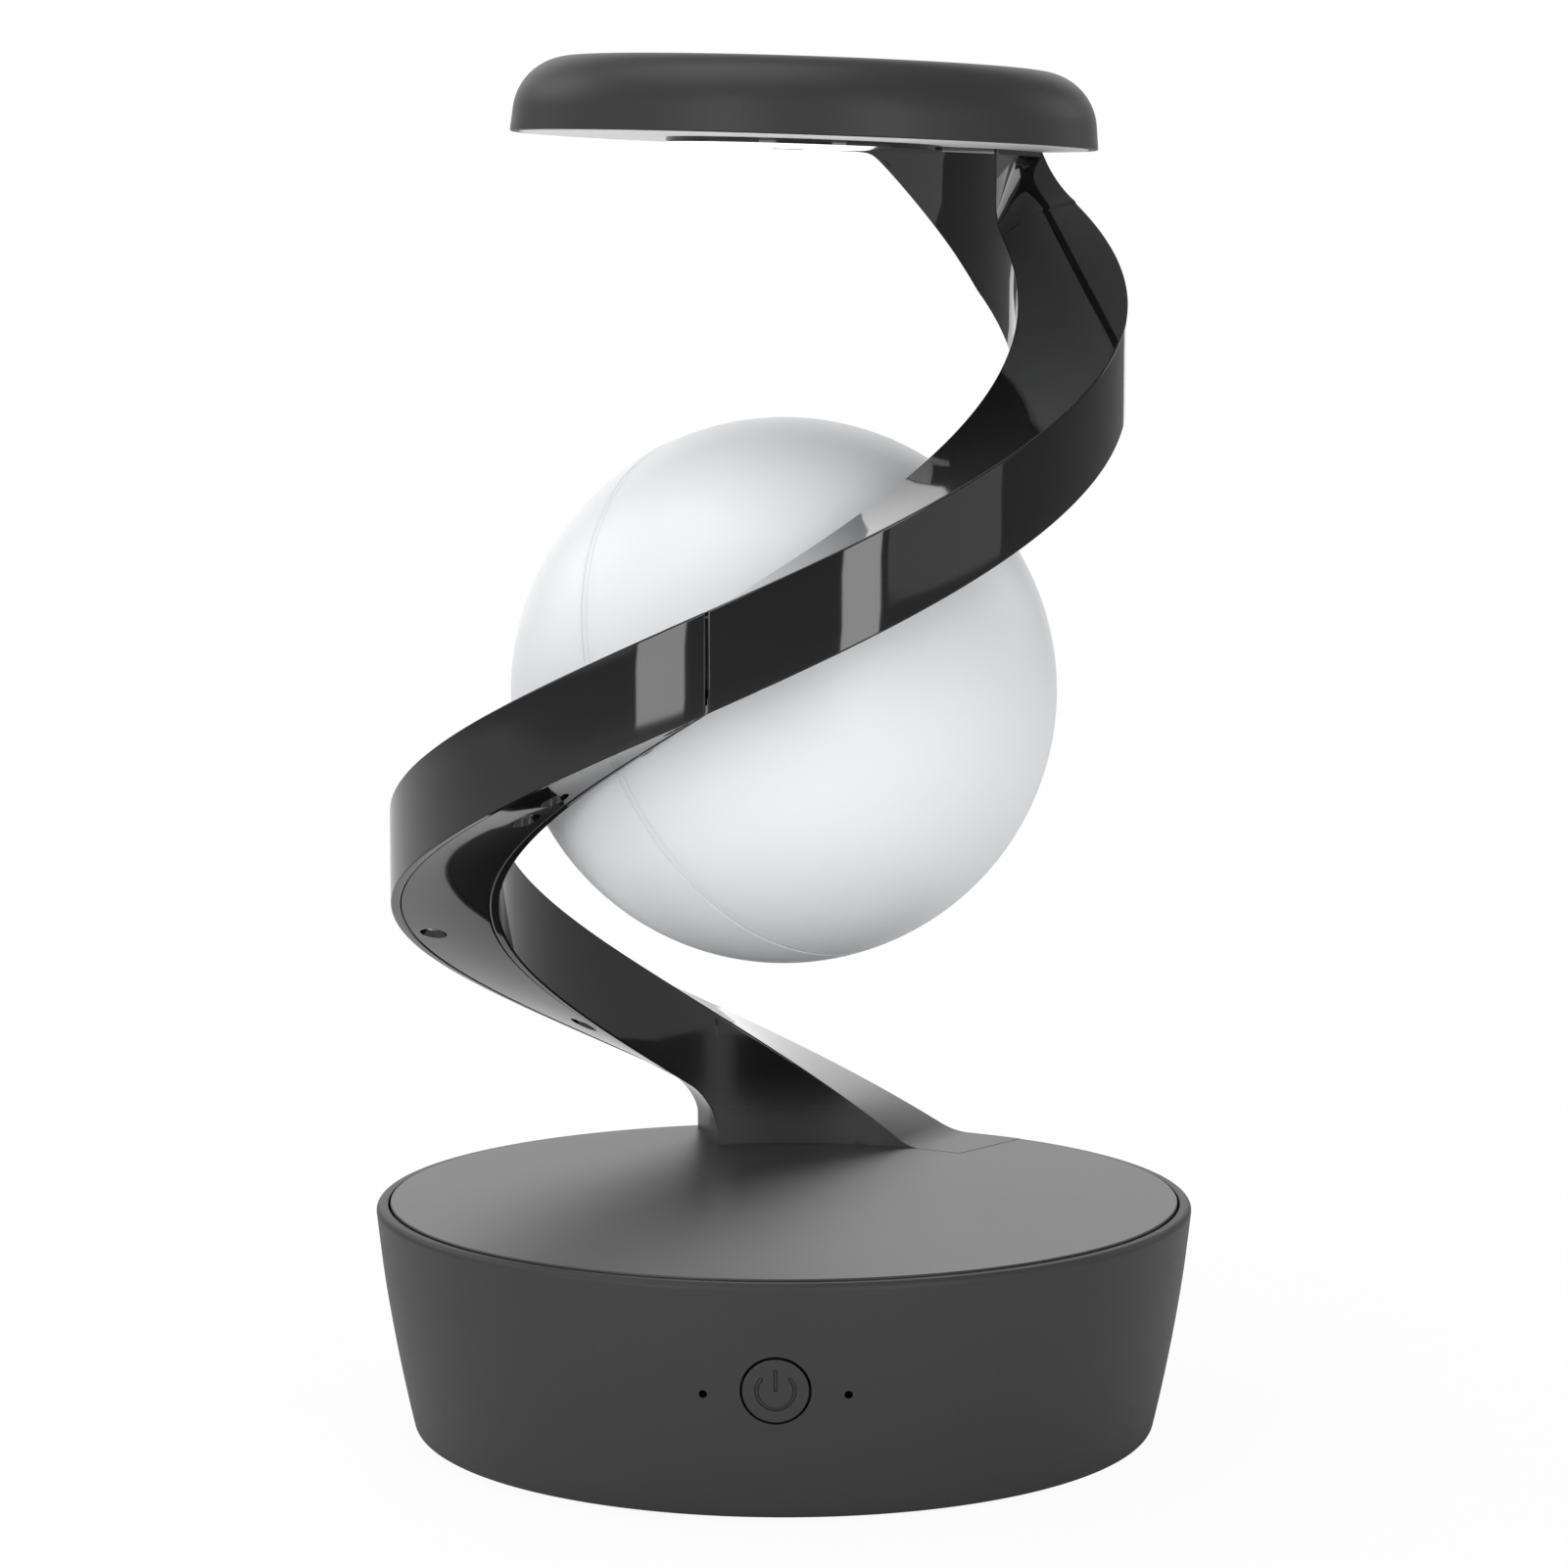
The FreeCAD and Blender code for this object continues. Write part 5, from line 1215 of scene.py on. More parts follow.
    def symbol(self, across: float, up: float) -> float:
        """Depth of the engraved power symbol at a place on the cap.

        Args:
            across: sideways place from the middle of the cap.
            up: upward place from the middle of the cap.

        Returns:
            The depth.
        """
        radius = math.hypot(across, up)
        ring = abs(radius - self.symbol_radius)
        if abs(math.atan2(across, up)) < self.symbol_break:
            turn = math.copysign(self.symbol_break, across)
            end_up, end_across = on_circle(self.symbol_radius, turn)
            ring = math.hypot(across - end_across, up - end_up)
        bar = math.hypot(across, up - min(max(up, self.symbol_bar[0]), self.symbol_bar[1]))
        return self.symbol_depth * (1.0 - ramp(min(ring, bar) / self.symbol_stroke, *self.symbol_slope))

    def make_button(self) -> None:
        """Cap that follows the wall, with its engraved symbol and rounded edge, and its flange."""
        flat, top = self.button_radius - self.button_edge, -self.button_proud
        rings = [(self.button_eye, top)]
        rings += [(flat * (step + 1) / self.button_rings, top) for step in range(self.button_rings)]
        rings += quarter((self.button_radius, top), -self.button_edge, self.button_edge, EDGE_STEPS, 1)
        rings.append((self.button_radius, self.button_depth))
        cap = self.wall_form("button_cap", 0.0, self.button_height, rings, self.button_turns, self.symbol)
        wide, thick = self.button_flange_radius, self.button_flange_thick
        outline = [(0.0, 0.0), (wide, 0.0), (wide, thick), (0.0, thick)]
        flange = turned("button_flange", outline, turns=self.flange_turns)
        stood_up("button_flange", flange, Vector((0, thick - self.button_flange, self.button_height)),
                 Vector((0, -1, 0)))
        button = shade(merged("power_button_cap", [cap, flange]))
        self.dress(button, BUTTON_MATTE, Body.BUTTON, "base_plastic", "power_button")

    def build(self) -> None:
        """Make every piece of the base."""
        self.make_housing()
        self.make_button()


# ---------------------------------------------------------------- helical arm


@dataclass(frozen=True)
class Helix:
    """Law of the arm: radius and height of its top outer edge at each angle."""

    centre_x: float = -0.0014
    centre_y: float = -0.0028
    radius: float = 0.0666
    taper: float = 0.0073
    height: float = 0.1623
    rise: float = 0.095
    bow: float = -0.0024
    ease: float = 0.005

    def outer(self, angle: Value) -> Value:
        """Outer radius at an angle."""
        return self.radius - (angle - 180.0) * (self.taper / 180.0)

    def top(self, angle: Value) -> Value:
        """Height of the top surface at an angle."""
        turn = (angle - 180.0) * (1.0 / 180.0)
        return self.height + turn * self.rise + turn * turn * self.bow + turn * turn * turn * self.ease

    def spot(self, angle: Value, inset: Value) -> tuple[Value, Value]:
        """Place seen from above, inset from the outer wall.

        Args:
            angle: angle round the arm.
            inset: distance from the outer wall.

        Returns:
            X and Y of the place.
        """
        reach = self.outer(angle) - inset
        turn = angle * (math.pi / 180.0)
        return self.centre_x - reach * sine(turn), self.centre_y + reach * cosine(turn)


@dataclass(frozen=True)
class HeadPlace:
    """Place and tilt of the head."""

    x: float = 0.0035
    y: float = 0.006
    level: float = 0.2359
    roll: float = 1.9
    pitch: float = 1.2

    def matrix(self) -> Matrix:
        """Matrix from the head's own frame, whose Z is square to its underside.

        Returns:
            The matrix.
        """
        return (Matrix.Translation((self.x, self.y, self.level))
                @ Matrix.Rotation(math.radians(self.roll), 4, "Y")
                @ Matrix.Rotation(-math.radians(self.pitch), 4, "X"))

    def under(self, x: Value, y: Value) -> Value:
        """Height of the tilted underside."""
        roll, pitch = math.tan(math.radians(self.roll)), math.tan(math.radians(self.pitch))
        return self.level - (x - self.x) * roll - (y - self.y) * pitch


class BendTree(GeometryTree):
    """Geometry tree that sweeps a section along a straight bar and bends the bar to the arm."""

    cuts: int = 3
    edge_steps: int = 3

    def __init__(self, name: str, sizes: dict[str, float]) -> None:
        """Start a tree with named inputs for its sizes.

        Args:
            name: name of the tree.
            sizes: the sizes by name, among them Width, Depth and Edge.
        """
        super().__init__(name, {**dict.fromkeys(sizes, "Float"), "Steps": "Int", "Finish": "Material"})
        self.sizes = sizes

    def size(self, key: str) -> Number:
        """One of the named inputs as a number."""
        return Number(self, self.start.outputs[key])

    def section(self, corners: Sequence[tuple[Value, Value]]) -> bpy.types.NodeSocket:
        """Closed section curve through corners that are then rounded.

        Args:
            corners: inset and drop of each corner.

        Returns:
            The curve.
        """
        line = self.node("GeometryNodeMeshLine", inputs={"Count": len(corners)})
        choice = self.tree.nodes.new("GeometryNodeIndexSwitch")
        choice.data_type = "VECTOR"
        for _extra in range(len(corners) - 2):
            choice.index_switch_items.new()
        self.feed(choice.inputs["Index"], self.node("GeometryNodeInputIndex").outputs[0])
        for place, (inset, drop) in enumerate(corners):
            self.feed(choice.inputs[str(place)], self.joined(-inset, -drop, 0.0))
        bent = self.node("GeometryNodeSetPosition", inputs={"Geometry": line.outputs[0],
                                                            "Position": choice.outputs[0]})
        curve = self.node("GeometryNodeMeshToCurve", inputs={0: bent.outputs[0]})
        closed = self.node("GeometryNodeSetSplineCyclic", inputs={
            "Geometry": curve.outputs[0], "Cyclic": True})
        split = self.node("GeometryNodeSubdivideCurve", inputs={
            "Curve": closed.outputs[0], "Cuts": self.cuts})
        soft = self.node("GeometryNodeFilletCurve", {"mode": "POLY"}, {
            "Curve": split.outputs[0], "Count": self.edge_steps, "Radius": self.size("Edge")})
        return soft.outputs[0]

    def box_section(self) -> bpy.types.NodeSocket:
        """Plain box of the tree's width and depth."""
        width, depth = self.size("Width"), self.size("Depth")
        return self.section([(0.0, 0.0), (width, 0.0), (width, depth), (0.0, depth)])

    def point(self) -> tuple[Number, Number, Number]:
        """Place along, inset and drop of a point of the bar."""
        return self.parts(self.node("GeometryNodeInputPosition").outputs[0])

    def bar(self, section: bpy.types.NodeSocket, first: Value, last: Value) -> bpy.types.NodeSocket:
        """Straight bar: X runs along it, Y is the inset and Z the drop.

        Args:
            section: section curve.
            first: place where the bar starts.
            last: place where it ends.

        Returns:
            The bar.
        """
        line = self.node("GeometryNodeCurvePrimitiveLine", inputs={
            "Start": self.joined(first, 0.0, 0.0), "End": self.joined(last, 0.0, 0.0)})
        steps = self.node("GeometryNodeResampleCurve", {"mode": "COUNT"}, {
            "Curve": line.outputs[0], "Count": self.start.outputs["Steps"]})
        swept = self.node("GeometryNodeCurveToMesh", inputs={
            "Curve": steps.outputs[0], "Profile Curve": section, "Fill Caps": True})
        return swept.outputs[0]

    def bend(self, bar: bpy.types.NodeSocket, place: bpy.types.NodeSocket) -> None:
        """Move every point of the bar to its place on the arm and end the tree."""
        bent = self.node("GeometryNodeSetPosition", inputs={"Geometry": bar, "Position": place})
        self.close(bent.outputs[0])

    def made(self, name: str, steps: int, finish: bpy.types.Material) -> bpy.types.Object:
        """Run the tree on a new object and keep its plain mesh.

        Args:
            name: name of the piece.
            steps: stations along the bar.
            finish: its material.

        Returns:
            The new object.
        """
        values = {**self.sizes, "Steps": steps, "Finish": finish}
        made = self.run(linked(name, bpy.data.meshes.new(name)), values)
        cleaned(made.data, SAME_BEND)
        return made


@dataclass
class Arm(Assembly):
    """Helical arm: deck with the lower arm, upper arm, and their covers and screws."""

    law: Helix = field(default_factory=Helix)
    head: HeadPlace = field(default_factory=HeadPlace)
    width: float = 0.0197
    depth: float = 0.0174
    wall: float = 0.0018
    recess: float = 0.003
    cover_thickness: float = 0.00285
    cover_gap: float = 0.00015
    edge: float = 0.0004
    seam: float = 171.0
    seam_gap: float = 0.32
    seam_round: float = 0.35
    seam_steps: float = 2.0
    seam_edge: float = 0.00025
    tongue_inset: float = 0.0012
    deck_top: float = 0.04235
    deck_radius: float = 0.0723
    deck_thickness: float = 0.003
    deck_bevel: float = 0.0002
    deck_round: float = 0.0001
    fairing: float = 0.0016
    tuck: float = -0.00005
    foot_start: float = -38.0
    foot_face: float = 13.4
    foot_step: float = 1.0
    foot_root: float = 0.001
    foot_round: float = 0.006
    throat_span: float = 5.7
    turn_steps: float = 8.0
    lower_cover: tuple[float, float] = (22.0, 169.8)
    upper_cover: tuple[float, float] = (172.2, 284.0)
    top_face_inner: float = 291.2
    top_face_outer: float = 309.5
    face_probe: float = 5.0
    top_round_inner: float = 0.009
    top_round_outer: float = 0.022
    top_turn: float = 300.0
    face_step: float = 2.0
    thin_from: float = 300.0
    thin_rate: float = 0.00016
    tail: float = 362.0
    tail_steps: float = 50.0
    plate_drop: float = 0.001
    plate_lap: float = 0.0004
    plate_fairing: float = 0.0012
    plate_radius: float = 0.025
    bridge_radius: float = 0.05
    bridge_end: float = 90.0
    bridge_short: float = 4.0
    screw_inset: float = 0.0132
    outer_screw: tuple[float, float] = (79.5, 0.0059)
    lower_screws: tuple[float, ...] = (40, 79.5, 129, 137, 163)
    upper_screws: tuple[float, ...] = (186, 222, 258, 280)
    sink_radius: float = 0.0025
    sink_reach: float = 0.004
    shank_hole: float = 0.0011
    shank_reach: float = 0.0035
    boss_radii: tuple[float, float] = (0.0055, 0.0073)
    boss_length: float = 0.0072
    boss_edge: float = 0.0003
    boss_gap: float = 0.0011
    boss_turns: int = 96
    sink_turns: int = 48
    magnet_search: tuple[float, float] = (90.0, 200.0)
    halvings: int = 40
    opening_span: float = 0.125
    recess_slack: float = 0.0001
    lower_stations: int = 860
    upper_stations: int = 760
    tongue_stations: int = 8
    tongue_reach: float = 1.0
    tongue_edge: float = 0.0002
    cover_edge: float = 0.00015
    cover_play: float = 0.3
    cover_rate: float = 2.0

    def bend_sizes(self) -> dict[str, float]:
        """Sizes that the bend trees take as named inputs."""
        return {"Width": self.width, "Depth": self.depth, "Wall": self.wall, "Recess": self.recess,
                "Edge": self.edge}

    def channel_section(self, tree: BendTree) -> bpy.types.NodeSocket:
        """Section of the arm: a bar whose underside has the recess of the cover.

        Args:
            tree: tree with the sizes of the arm.

        Returns:
            The section curve.
        """
        width, depth, wall = tree.size("Width"), tree.size("Depth"), tree.size("Wall")
        low = depth - tree.size("Recess")
        return tree.section([(0.0, 0.0), (width, 0.0), (width, depth), (width - wall, depth),
                             (width - wall, low), (wall, low), (wall, depth), (0.0, depth)])

    def seam_shrink(self, past: Value, inset: Value, drop: Value) -> tuple[Value, Value]:
        """Inset and drop after the rounding at the seam, where past runs from 0 to 1.

        Args:
            past: share of the rounding.
            inset: distance from the outer wall.
            drop: distance under the top surface.

        Returns:
            The new inset and drop.
        """
        shrink = (1.0 - root(1.0 - past * past)) * self.seam_edge
        inset = least(most(inset, shrink), self.width - shrink)
        drop = least(most(drop, shrink), self.depth - shrink)
        return inset, drop

    def make_lower_arm(self) -> bpy.types.Object:
        """Lower arm: fairs out of the deck, stands on its foot and ends at the seam.

        Returns:
            The new object.
        """
        tree = BendTree("lower_arm_bend", self.bend_sizes())
        along, inset, drop = tree.point()
        face_end = self.foot_face + self.foot_step
        turn_end = face_end + self.turn_steps
        soft_start = turn_end + self.seam - self.seam_round - self.foot_face - self.throat_span
        on_face = passed(along, self.foot_face, self.foot_step)
        bend = passed(along, face_end, self.turn_steps) * (math.pi / 2)
        on_soft = passed(along, soft_start, self.seam_steps)
        angle = (least(along, self.foot_face) + (1.0 - cosine(bend)) * self.throat_span
                 + most(least(along, soft_start) - turn_end, 0.0) + on_soft * self.seam_round)
        inset, drop = self.seam_shrink(on_soft, inset, drop)
        opened = passed(angle, self.lower_cover[0], self.opening_span)
        share = self.open_share(inset, drop, opened)
        x, y = self.law.spot(angle, inset)
        deck = lean_lift(y) + self.deck_top
        gap = self.law.top(angle) - deck
        soft = passed(gap, -self.fairing, 2 * self.fairing)
        top = deck - self.tuck + soft * soft * self.fairing + most(gap - self.fairing, 0.0)
        beam = self.law.top(angle) - self.depth - (1.0 - sine(bend)) * self.foot_round
        low = between(deck - self.foot_root, beam, on_face)
        bar = tree.bar(self.channel_section(tree), self.foot_start, soft_start + self.seam_steps)
        tree.bend(bar, tree.joined(x, y, between(low, top, share)))
        return tree.made("lower_arm_bar", self.lower_stations, self.wardrobe.take(ARM_GLOSS))

    def make_tongue(self) -> bpy.types.Object:
        """Tongue that joins the two halves of the arm inside the seam.

        Returns:
            The new object.
        """
        inset = self.tongue_inset
        sizes = {"Width": self.width - 2 * inset, "Depth": self.depth - self.recess - 2 * inset,
                 "Edge": self.tongue_edge}
        tree = BendTree("tongue_bend", sizes)
        along, across, drop = tree.point()
        x, y = self.law.spot(along, across + inset)
        first, last = self.seam - self.tongue_reach, self.seam + self.seam_gap + self.tongue_reach
        tree.bend(tree.bar(tree.box_section(), first, last),
                  tree.joined(x, y, self.law.top(along) - drop - inset))
        return tree.made("seam_tongue", self.tongue_stations, self.wardrobe.take(ARM_GLOSS))

    def open_share(self, inset: Value, drop: Value, opened: Value) -> Value:
        """Height of a point as a share of the arm's depth, with the recess flat where it isn't open.

        Args:
            inset: distance from the outer wall.
            drop: distance under the top surface.
            opened: 1 where the recess is open and 0 where it is closed.

        Returns:
            0 at the underside and 1 at the top surface.
        """
        rise = self.depth - drop
        half = self.wall * 0.5
        inner = passed(inset, half, SWITCH) * passed(self.width - half - inset, 0.0, SWITCH)
        in_recess = inner * passed(self.recess + self.recess_slack - rise, 0.0, SWITCH)
        return held(rise * (1.0 - (1.0 - opened) * in_recess) * (1.0 / self.depth))

    def make_deck(self) -> bpy.types.Object:
        """Deck plate with its bevelled edge.

        Returns:
            The new object.
        """
        low = self.deck_top - self.deck_thickness
        outline = rounded([(0.0, low, 0.0), (self.deck_radius, low, 0.0),
                           (self.deck_radius, self.deck_top - self.deck_bevel, self.deck_round),
                           (self.deck_radius - self.deck_bevel, self.deck_top, self.deck_round),
                           (0.0, self.deck_top, 0.0)], BEVEL_STEPS)
        return leaned(turned("deck_plate", outline), 0.0, low)

    def magnet_way(self) -> tuple[Vector, float]:
        """Direction from the ball's centre to the magnet, and the distance of the arm's boss.

        Returns:
            The direction and the distance.
        """
        low, high = self.magnet_search
        for _step in range(self.halvings):
            middle = (low + high) / 2
            if self.law.top(middle) - self.depth / 2 < BALL_HEIGHT:
                low = middle
            else:
                high = middle
        x, y = self.law.spot(low, self.width)
        return Vector((x, y, 0.0)).normalized(), BALL_RADIUS + self.boss_gap

    def make_boss(self) -> bpy.types.Object:
        """Round boss of the magnet's pocket on the inner wall.

        Returns:
            The new object.
        """
        way, front = self.magnet_way()
        inner, outer = self.boss_radii
        outline = rounded([(inner, 0.0, 0.0), (outer, 0.0, self.boss_edge), (outer, self.boss_length, 0.0),
                           (inner, self.boss_length, 0.0)], BEVEL_STEPS)
        boss = turned("boss", outline, turns=self.boss_turns)
        return stood_up("magnet_boss", boss, way * front + Vector((0, 0, BALL_HEIGHT)), way)

    def face_way(self) -> tuple[float, float]:
        """Direction square to the top end face and its distance from the helix axis.

        Returns:
            Degrees round the arm and metres.
        """
        start = Vector(self.law.spot(self.top_face_inner, self.width))
        end = Vector(self.law.spot(self.top_face_outer, 0.0))
        run = (end - start).normalized()
        normal = Vector((run.y, -run.x))
        middle = Vector((self.law.centre_x, self.law.centre_y))
        reach = (start - middle).dot(normal)
        if reach < 0:
            normal, reach = -normal, -reach
        return math.degrees(math.atan2(-normal.x, normal.y)), reach

    def face_angle(self, radius: Value, before: Value) -> Value:
        """Angle at which a radius meets the plane a distance before the top end face.

        Args:
            radius: distance from the helix axis.
            before: how far before the face the plane lies.

        Returns:
            The angle round the arm.
        """
        facing, reach = self.face_way()
        side = 1.0 if self.top_face_inner % 360 > facing % 360 else -1.0
        swing = arc_cosine(least((reach + before * self.face_sign()) / radius, 1.0)) * (180.0 / math.pi)
        return facing % 360 + swing * side

    def face_sign(self) -> float:
        """Whether the plane's distance from the axis grows or falls before the face.

        Returns:
            1 where it grows and -1 where it falls.
        """
        facing, reach = self.face_way()
        x, y = self.law.spot(self.top_face_inner - self.face_probe, self.width / 2)
        normal = Vector((-math.sin(math.radians(facing)), math.cos(math.radians(facing))))
        here = Vector((x - self.law.centre_x, y - self.law.centre_y)).dot(normal)
        return 1.0 if here > reach else -1.0

    def end_turn(self, inset: Value, bend: Value) -> tuple[Value, Value, Value]:
        """Concave turn from the top surface into the upright end face.

        Args:
            inset: distance from the outer wall.
            bend: 0 where the turn leaves the top surface and 1 where it is upright.

        Returns:
            Angle and height of the point, and the angle where the turn starts.
        """
        radius = self.law.outer(self.top_turn) - inset
        round_over = self.top_round_outer + inset * (
            (self.top_round_inner - self.top_round_outer) / self.width)
        step = self.top_round_inner / 2
        zero = self.face_angle(radius, 0.0)
        slope = (self.law.top(zero) - self.law.top(self.face_angle(radius, step))) * (1.0 / step)
        steep = root(slope * slope + 1.0)
        middle = self.law.top(zero) + (steep - slope) * round_over
        wide = arc_cosine(slope / steep)
        turn = wide * (1.0 - bend)
        angle = self.face_angle(radius, (1.0 - cosine(turn)) * round_over)
        start = self.face_angle(radius, (1.0 - cosine(wide)) * round_over)
        return angle, middle - sine(turn) * round_over, start

    def make_upper_arm(self) -> bpy.types.Object:
        """Upper arm: from the seam to its end face, then on under the head.

        Returns:
            The new object.
        """
        tree = BendTree("upper_arm_bend", self.bend_sizes())
        along, inset, drop = tree.point()
        first, turn_start = self.seam + self.seam_gap + self.seam_round, self.top_turn
        face = turn_start + self.turn_steps
        tail_start = face + self.face_step
        on_soft = passed(first - along, 0.0, self.seam_steps)
        way = most(along, first)
        inset, drop = self.seam_shrink(on_soft, inset, drop)
        opened = 1.0 - passed(along, self.upper_cover[1], self.opening_span)
        share = self.open_share(inset, drop, opened)
        bend = passed(along, turn_start, self.turn_steps)
        angle_turn, curve, tangent = self.end_turn(inset, bend)
        run, on_turn = passed(way, first, turn_start - first), passed(along, turn_start, SWITCH)
        tail = passed(along, tail_start, self.tail_steps)
        angle_top = between(between(first, tangent, run), angle_turn, on_turn)
        angle_top = between(angle_top, self.tail, tail) - on_soft * self.seam_round
        angle_low = between(least(way, tail_start) - on_soft * self.seam_round, self.tail, tail)
        x, y = self.law.spot(between(angle_low, angle_top, share), inset)
        under, on_face = self.head.under(x, y), passed(along, face, self.face_step)
        top = between(self.law.top(angle_top), curve, on_turn)
        top = least(between(top, under, on_face), under + self.plate_lap)
        thin = most(angle_low - self.thin_from, 0.0) * self.thin_rate
        arm_low, plate = self.law.top(angle_low) - self.depth + thin, under - self.plate_drop
        apart = arm_low - plate
        low = (arm_low + plate - root(apart * apart + self.plate_fairing ** 2)) * 0.5
        bar = tree.bar(self.channel_section(tree), first - self.seam_steps, tail_start + self.tail_steps)
        tree.bend(bar, tree.joined(x, y, between(low, top, share)))
        return tree.made("upper_arm_bar", self.upper_stations, self.wardrobe.take(ARM_GLOSS))

    def bridge_reach(self, turn: float) -> float:
        """Reach of the centre plate at an angle of the head: wider where it meets the arm's end.

        Args:
            turn: the angle in degrees.

        Returns:
            The reach from the middle of the head.
        """
        into, level = self.head.matrix().inverted(), self.head.level
        start = into @ Vector((*self.law.spot(self.top_face_inner, self.width), level))
        end = into @ Vector((*self.law.spot(self.top_face_outer - self.bridge_short, 0.0), level))
        if not math.degrees(math.atan2(start.y, start.x)) <= turn <= self.bridge_end:
            return self.plate_radius
        way = Vector(on_circle(1.0, math.radians(turn)))
        run = (end - start).xy
        side = way.cross(run)
        hit = start.xy.cross(run) / side if abs(side) > SAME_SPOT else self.bridge_radius
        return max(self.plate_radius, min(self.bridge_radius, hit)) if hit > 0 else self.bridge_radius

    def make_plate(self) -> bpy.types.Object:
        """Dark plate in the middle of the head's underside, with its bridge to the arm.

        Returns:
            The new object.
        """
        turns = [360.0 * step / TURNS for step in range(TURNS)]
        outline = [on_circle(self.bridge_reach(turn), math.radians(turn)) for turn in turns]
        return prism("centre_plate", outline, -self.plate_drop, self.plate_lap, self.head.matrix())

    def make_cover(self, name: str, reach: tuple[float, float],
                   screws: Sequence[float]) -> bpy.types.Object:
        """Cover of the channel, bent along the arm, with sunk round screw holes.

        Args:
            name: name of the cover.
            reach: angles where it starts and ends.
            screws: angles of its screws.

        Returns:
            The new object.
        """
        sizes = {"Width": self.width - 2 * (self.wall + self.cover_gap), "Depth": self.cover_thickness,
                 "Edge": self.cover_edge}
        tree = BendTree(name + "_bend", sizes)
        along, inset, drop = tree.point()
        x, y = self.law.spot(along, inset + self.wall + self.cover_gap)
        height = self.law.top(along) - (self.depth - self.recess) - drop
        tree.bend(tree.bar(tree.box_section(), *reach), tree.joined(x, y, height))
        stations = int((reach[1] - reach[0]) * self.cover_rate)
        cover = tree.made(name, stations, self.wardrobe.take(ARM_GLOSS))
        return carved(cover, [self.sink(angle) for angle in screws])

    def screw_seat(self, angle: float) -> Vector:
        """Middle of a cover screw, level with the underside of its head's seat.

        Args:
            angle: angle of the screw round the arm.

        Returns:
            The place.
        """
        inset = self.outer_screw[1] if angle == self.outer_screw[0] else self.screw_inset
        x, y = self.law.spot(angle, inset)
        return Vector((x, y, self.law.top(angle) - (self.depth - self.recess) - self.cover_thickness / 2))

    def sink(self, angle: float) -> bpy.types.Object:
        """Cutter of one sunk screw hole: wide from below up to the head's seat, narrow above it.

        Args:
            angle: angle of the screw round the arm.

        Returns:
            The cutter.
        """
        outline = [(0.0, -self.sink_reach), (self.sink_radius, -self.sink_reach), (self.sink_radius, 0.0),
                   (self.shank_hole, 0.0), (self.shank_hole, self.shank_reach), (0.0, self.shank_reach)]
        cutter = turned("sink", outline, turns=self.sink_turns)
        cutter.data.transform(Matrix.Translation(self.screw_seat(angle)))
        return cutter

    def build(self) -> None:
        """Make every piece of the arm."""
        low, high, play = self.lower_cover, self.upper_cover, self.cover_play
        lower = merged("deck_and_lower_arm", [self.make_deck(), self.make_lower_arm(), self.make_boss(),
                                              self.make_tongue()])
        upper = merged("upper_arm_and_plate", [self.make_upper_arm(), self.make_plate()])
        low_cover = self.make_cover("lower_cover", (low[0] + play, low[1]), self.lower_screws)
        high_cover = self.make_cover("upper_cover", (high[0], high[1] - play), self.upper_screws)
        for made, finish, node in (
                (lower, DECK_GLOSS, "deck_with_lower_arm"), (upper, ARM_GLOSS, "upper_arm"),
                (low_cover, ARM_GLOSS, "lower_arm_cover"), (high_cover, ARM_GLOSS, "upper_arm_cover")):
            self.dress(shade(made), finish, Body.LAMP, "arm_gloss", node)


# ---------------------------------------------------------------- head and ball


@dataclass
class Head(Assembly):
    """Domed head shell with its diffuser."""

    place: HeadPlace = field(default_factory=HeadPlace)
    radius: float = 0.0531
    top_radius: float = 0.0517
    thickness: float = 0.0141
    edge_height: float = 0.0136
    round_over: float = 0.0105
    round_steps: int = 24
    wall: float = 0.0016
    lip_rounds: tuple[float, float] = (0.0002, 0.0003)
    seat: float = 0.001
    shoulder: float = 0.003
    step: float = 0.0024
    diffuser_gap: float = 0.0001
    diffuser_proud: float = 0.0001
    diffuser_round: float = 0.0003

    def shell_outline(self) -> list[Point]:
        """Closed outline of the shell.

        Returns:
            Radius and height of each point.
        """
        inner, ceiling = self.radius - self.wall, self.edge_height - self.wall
        return rounded([
            (inner, 0.0, self.lip_rounds[0]), (self.radius, 0.0, self.lip_rounds[1]),
            (self.top_radius, self.edge_height, self.round_over), (0.0, self.thickness, 0.0),
            (0.0, self.thickness - self.wall, 0.0), (self.top_radius - self.round_over, ceiling, 0.0),
            (self.top_radius - self.wall - self.shoulder, ceiling - self.shoulder, 0.0),
            (inner - self.seat, self.edge_height - self.round_over, 0.0),
            (inner - self.seat, self.step, 0.0), (inner, self.step, 0.0)], self.round_steps)

    def diffuser_outline(self) -> list[Point]:
        """Closed outline of the diffuser, which stands a little proud of the shell.

        Returns:
            Radius and height of each point.
        """
        edge, low = self.radius - self.wall - self.diffuser_gap, -self.diffuser_proud
        return rounded([(0.0, low, 0.0), (edge, low, self.diffuser_round), (edge, self.step, 0.0),
                        (0.0, self.step, 0.0)])

    def build(self) -> None:
        """Make the shell and the diffuser."""
        shell = turned("head_dome", self.shell_outline(), self.place.matrix())
        self.dress(shade(shell), HEAD_MATTE, Body.LAMP, "head_plastic", "head_shell")
        diffuser = turned("diffuser_disc", self.diffuser_outline(), self.place.matrix())
        self.dress(shade(diffuser), DIFFUSER, Body.LAMP, "diffuser_white", "light_diffuser")


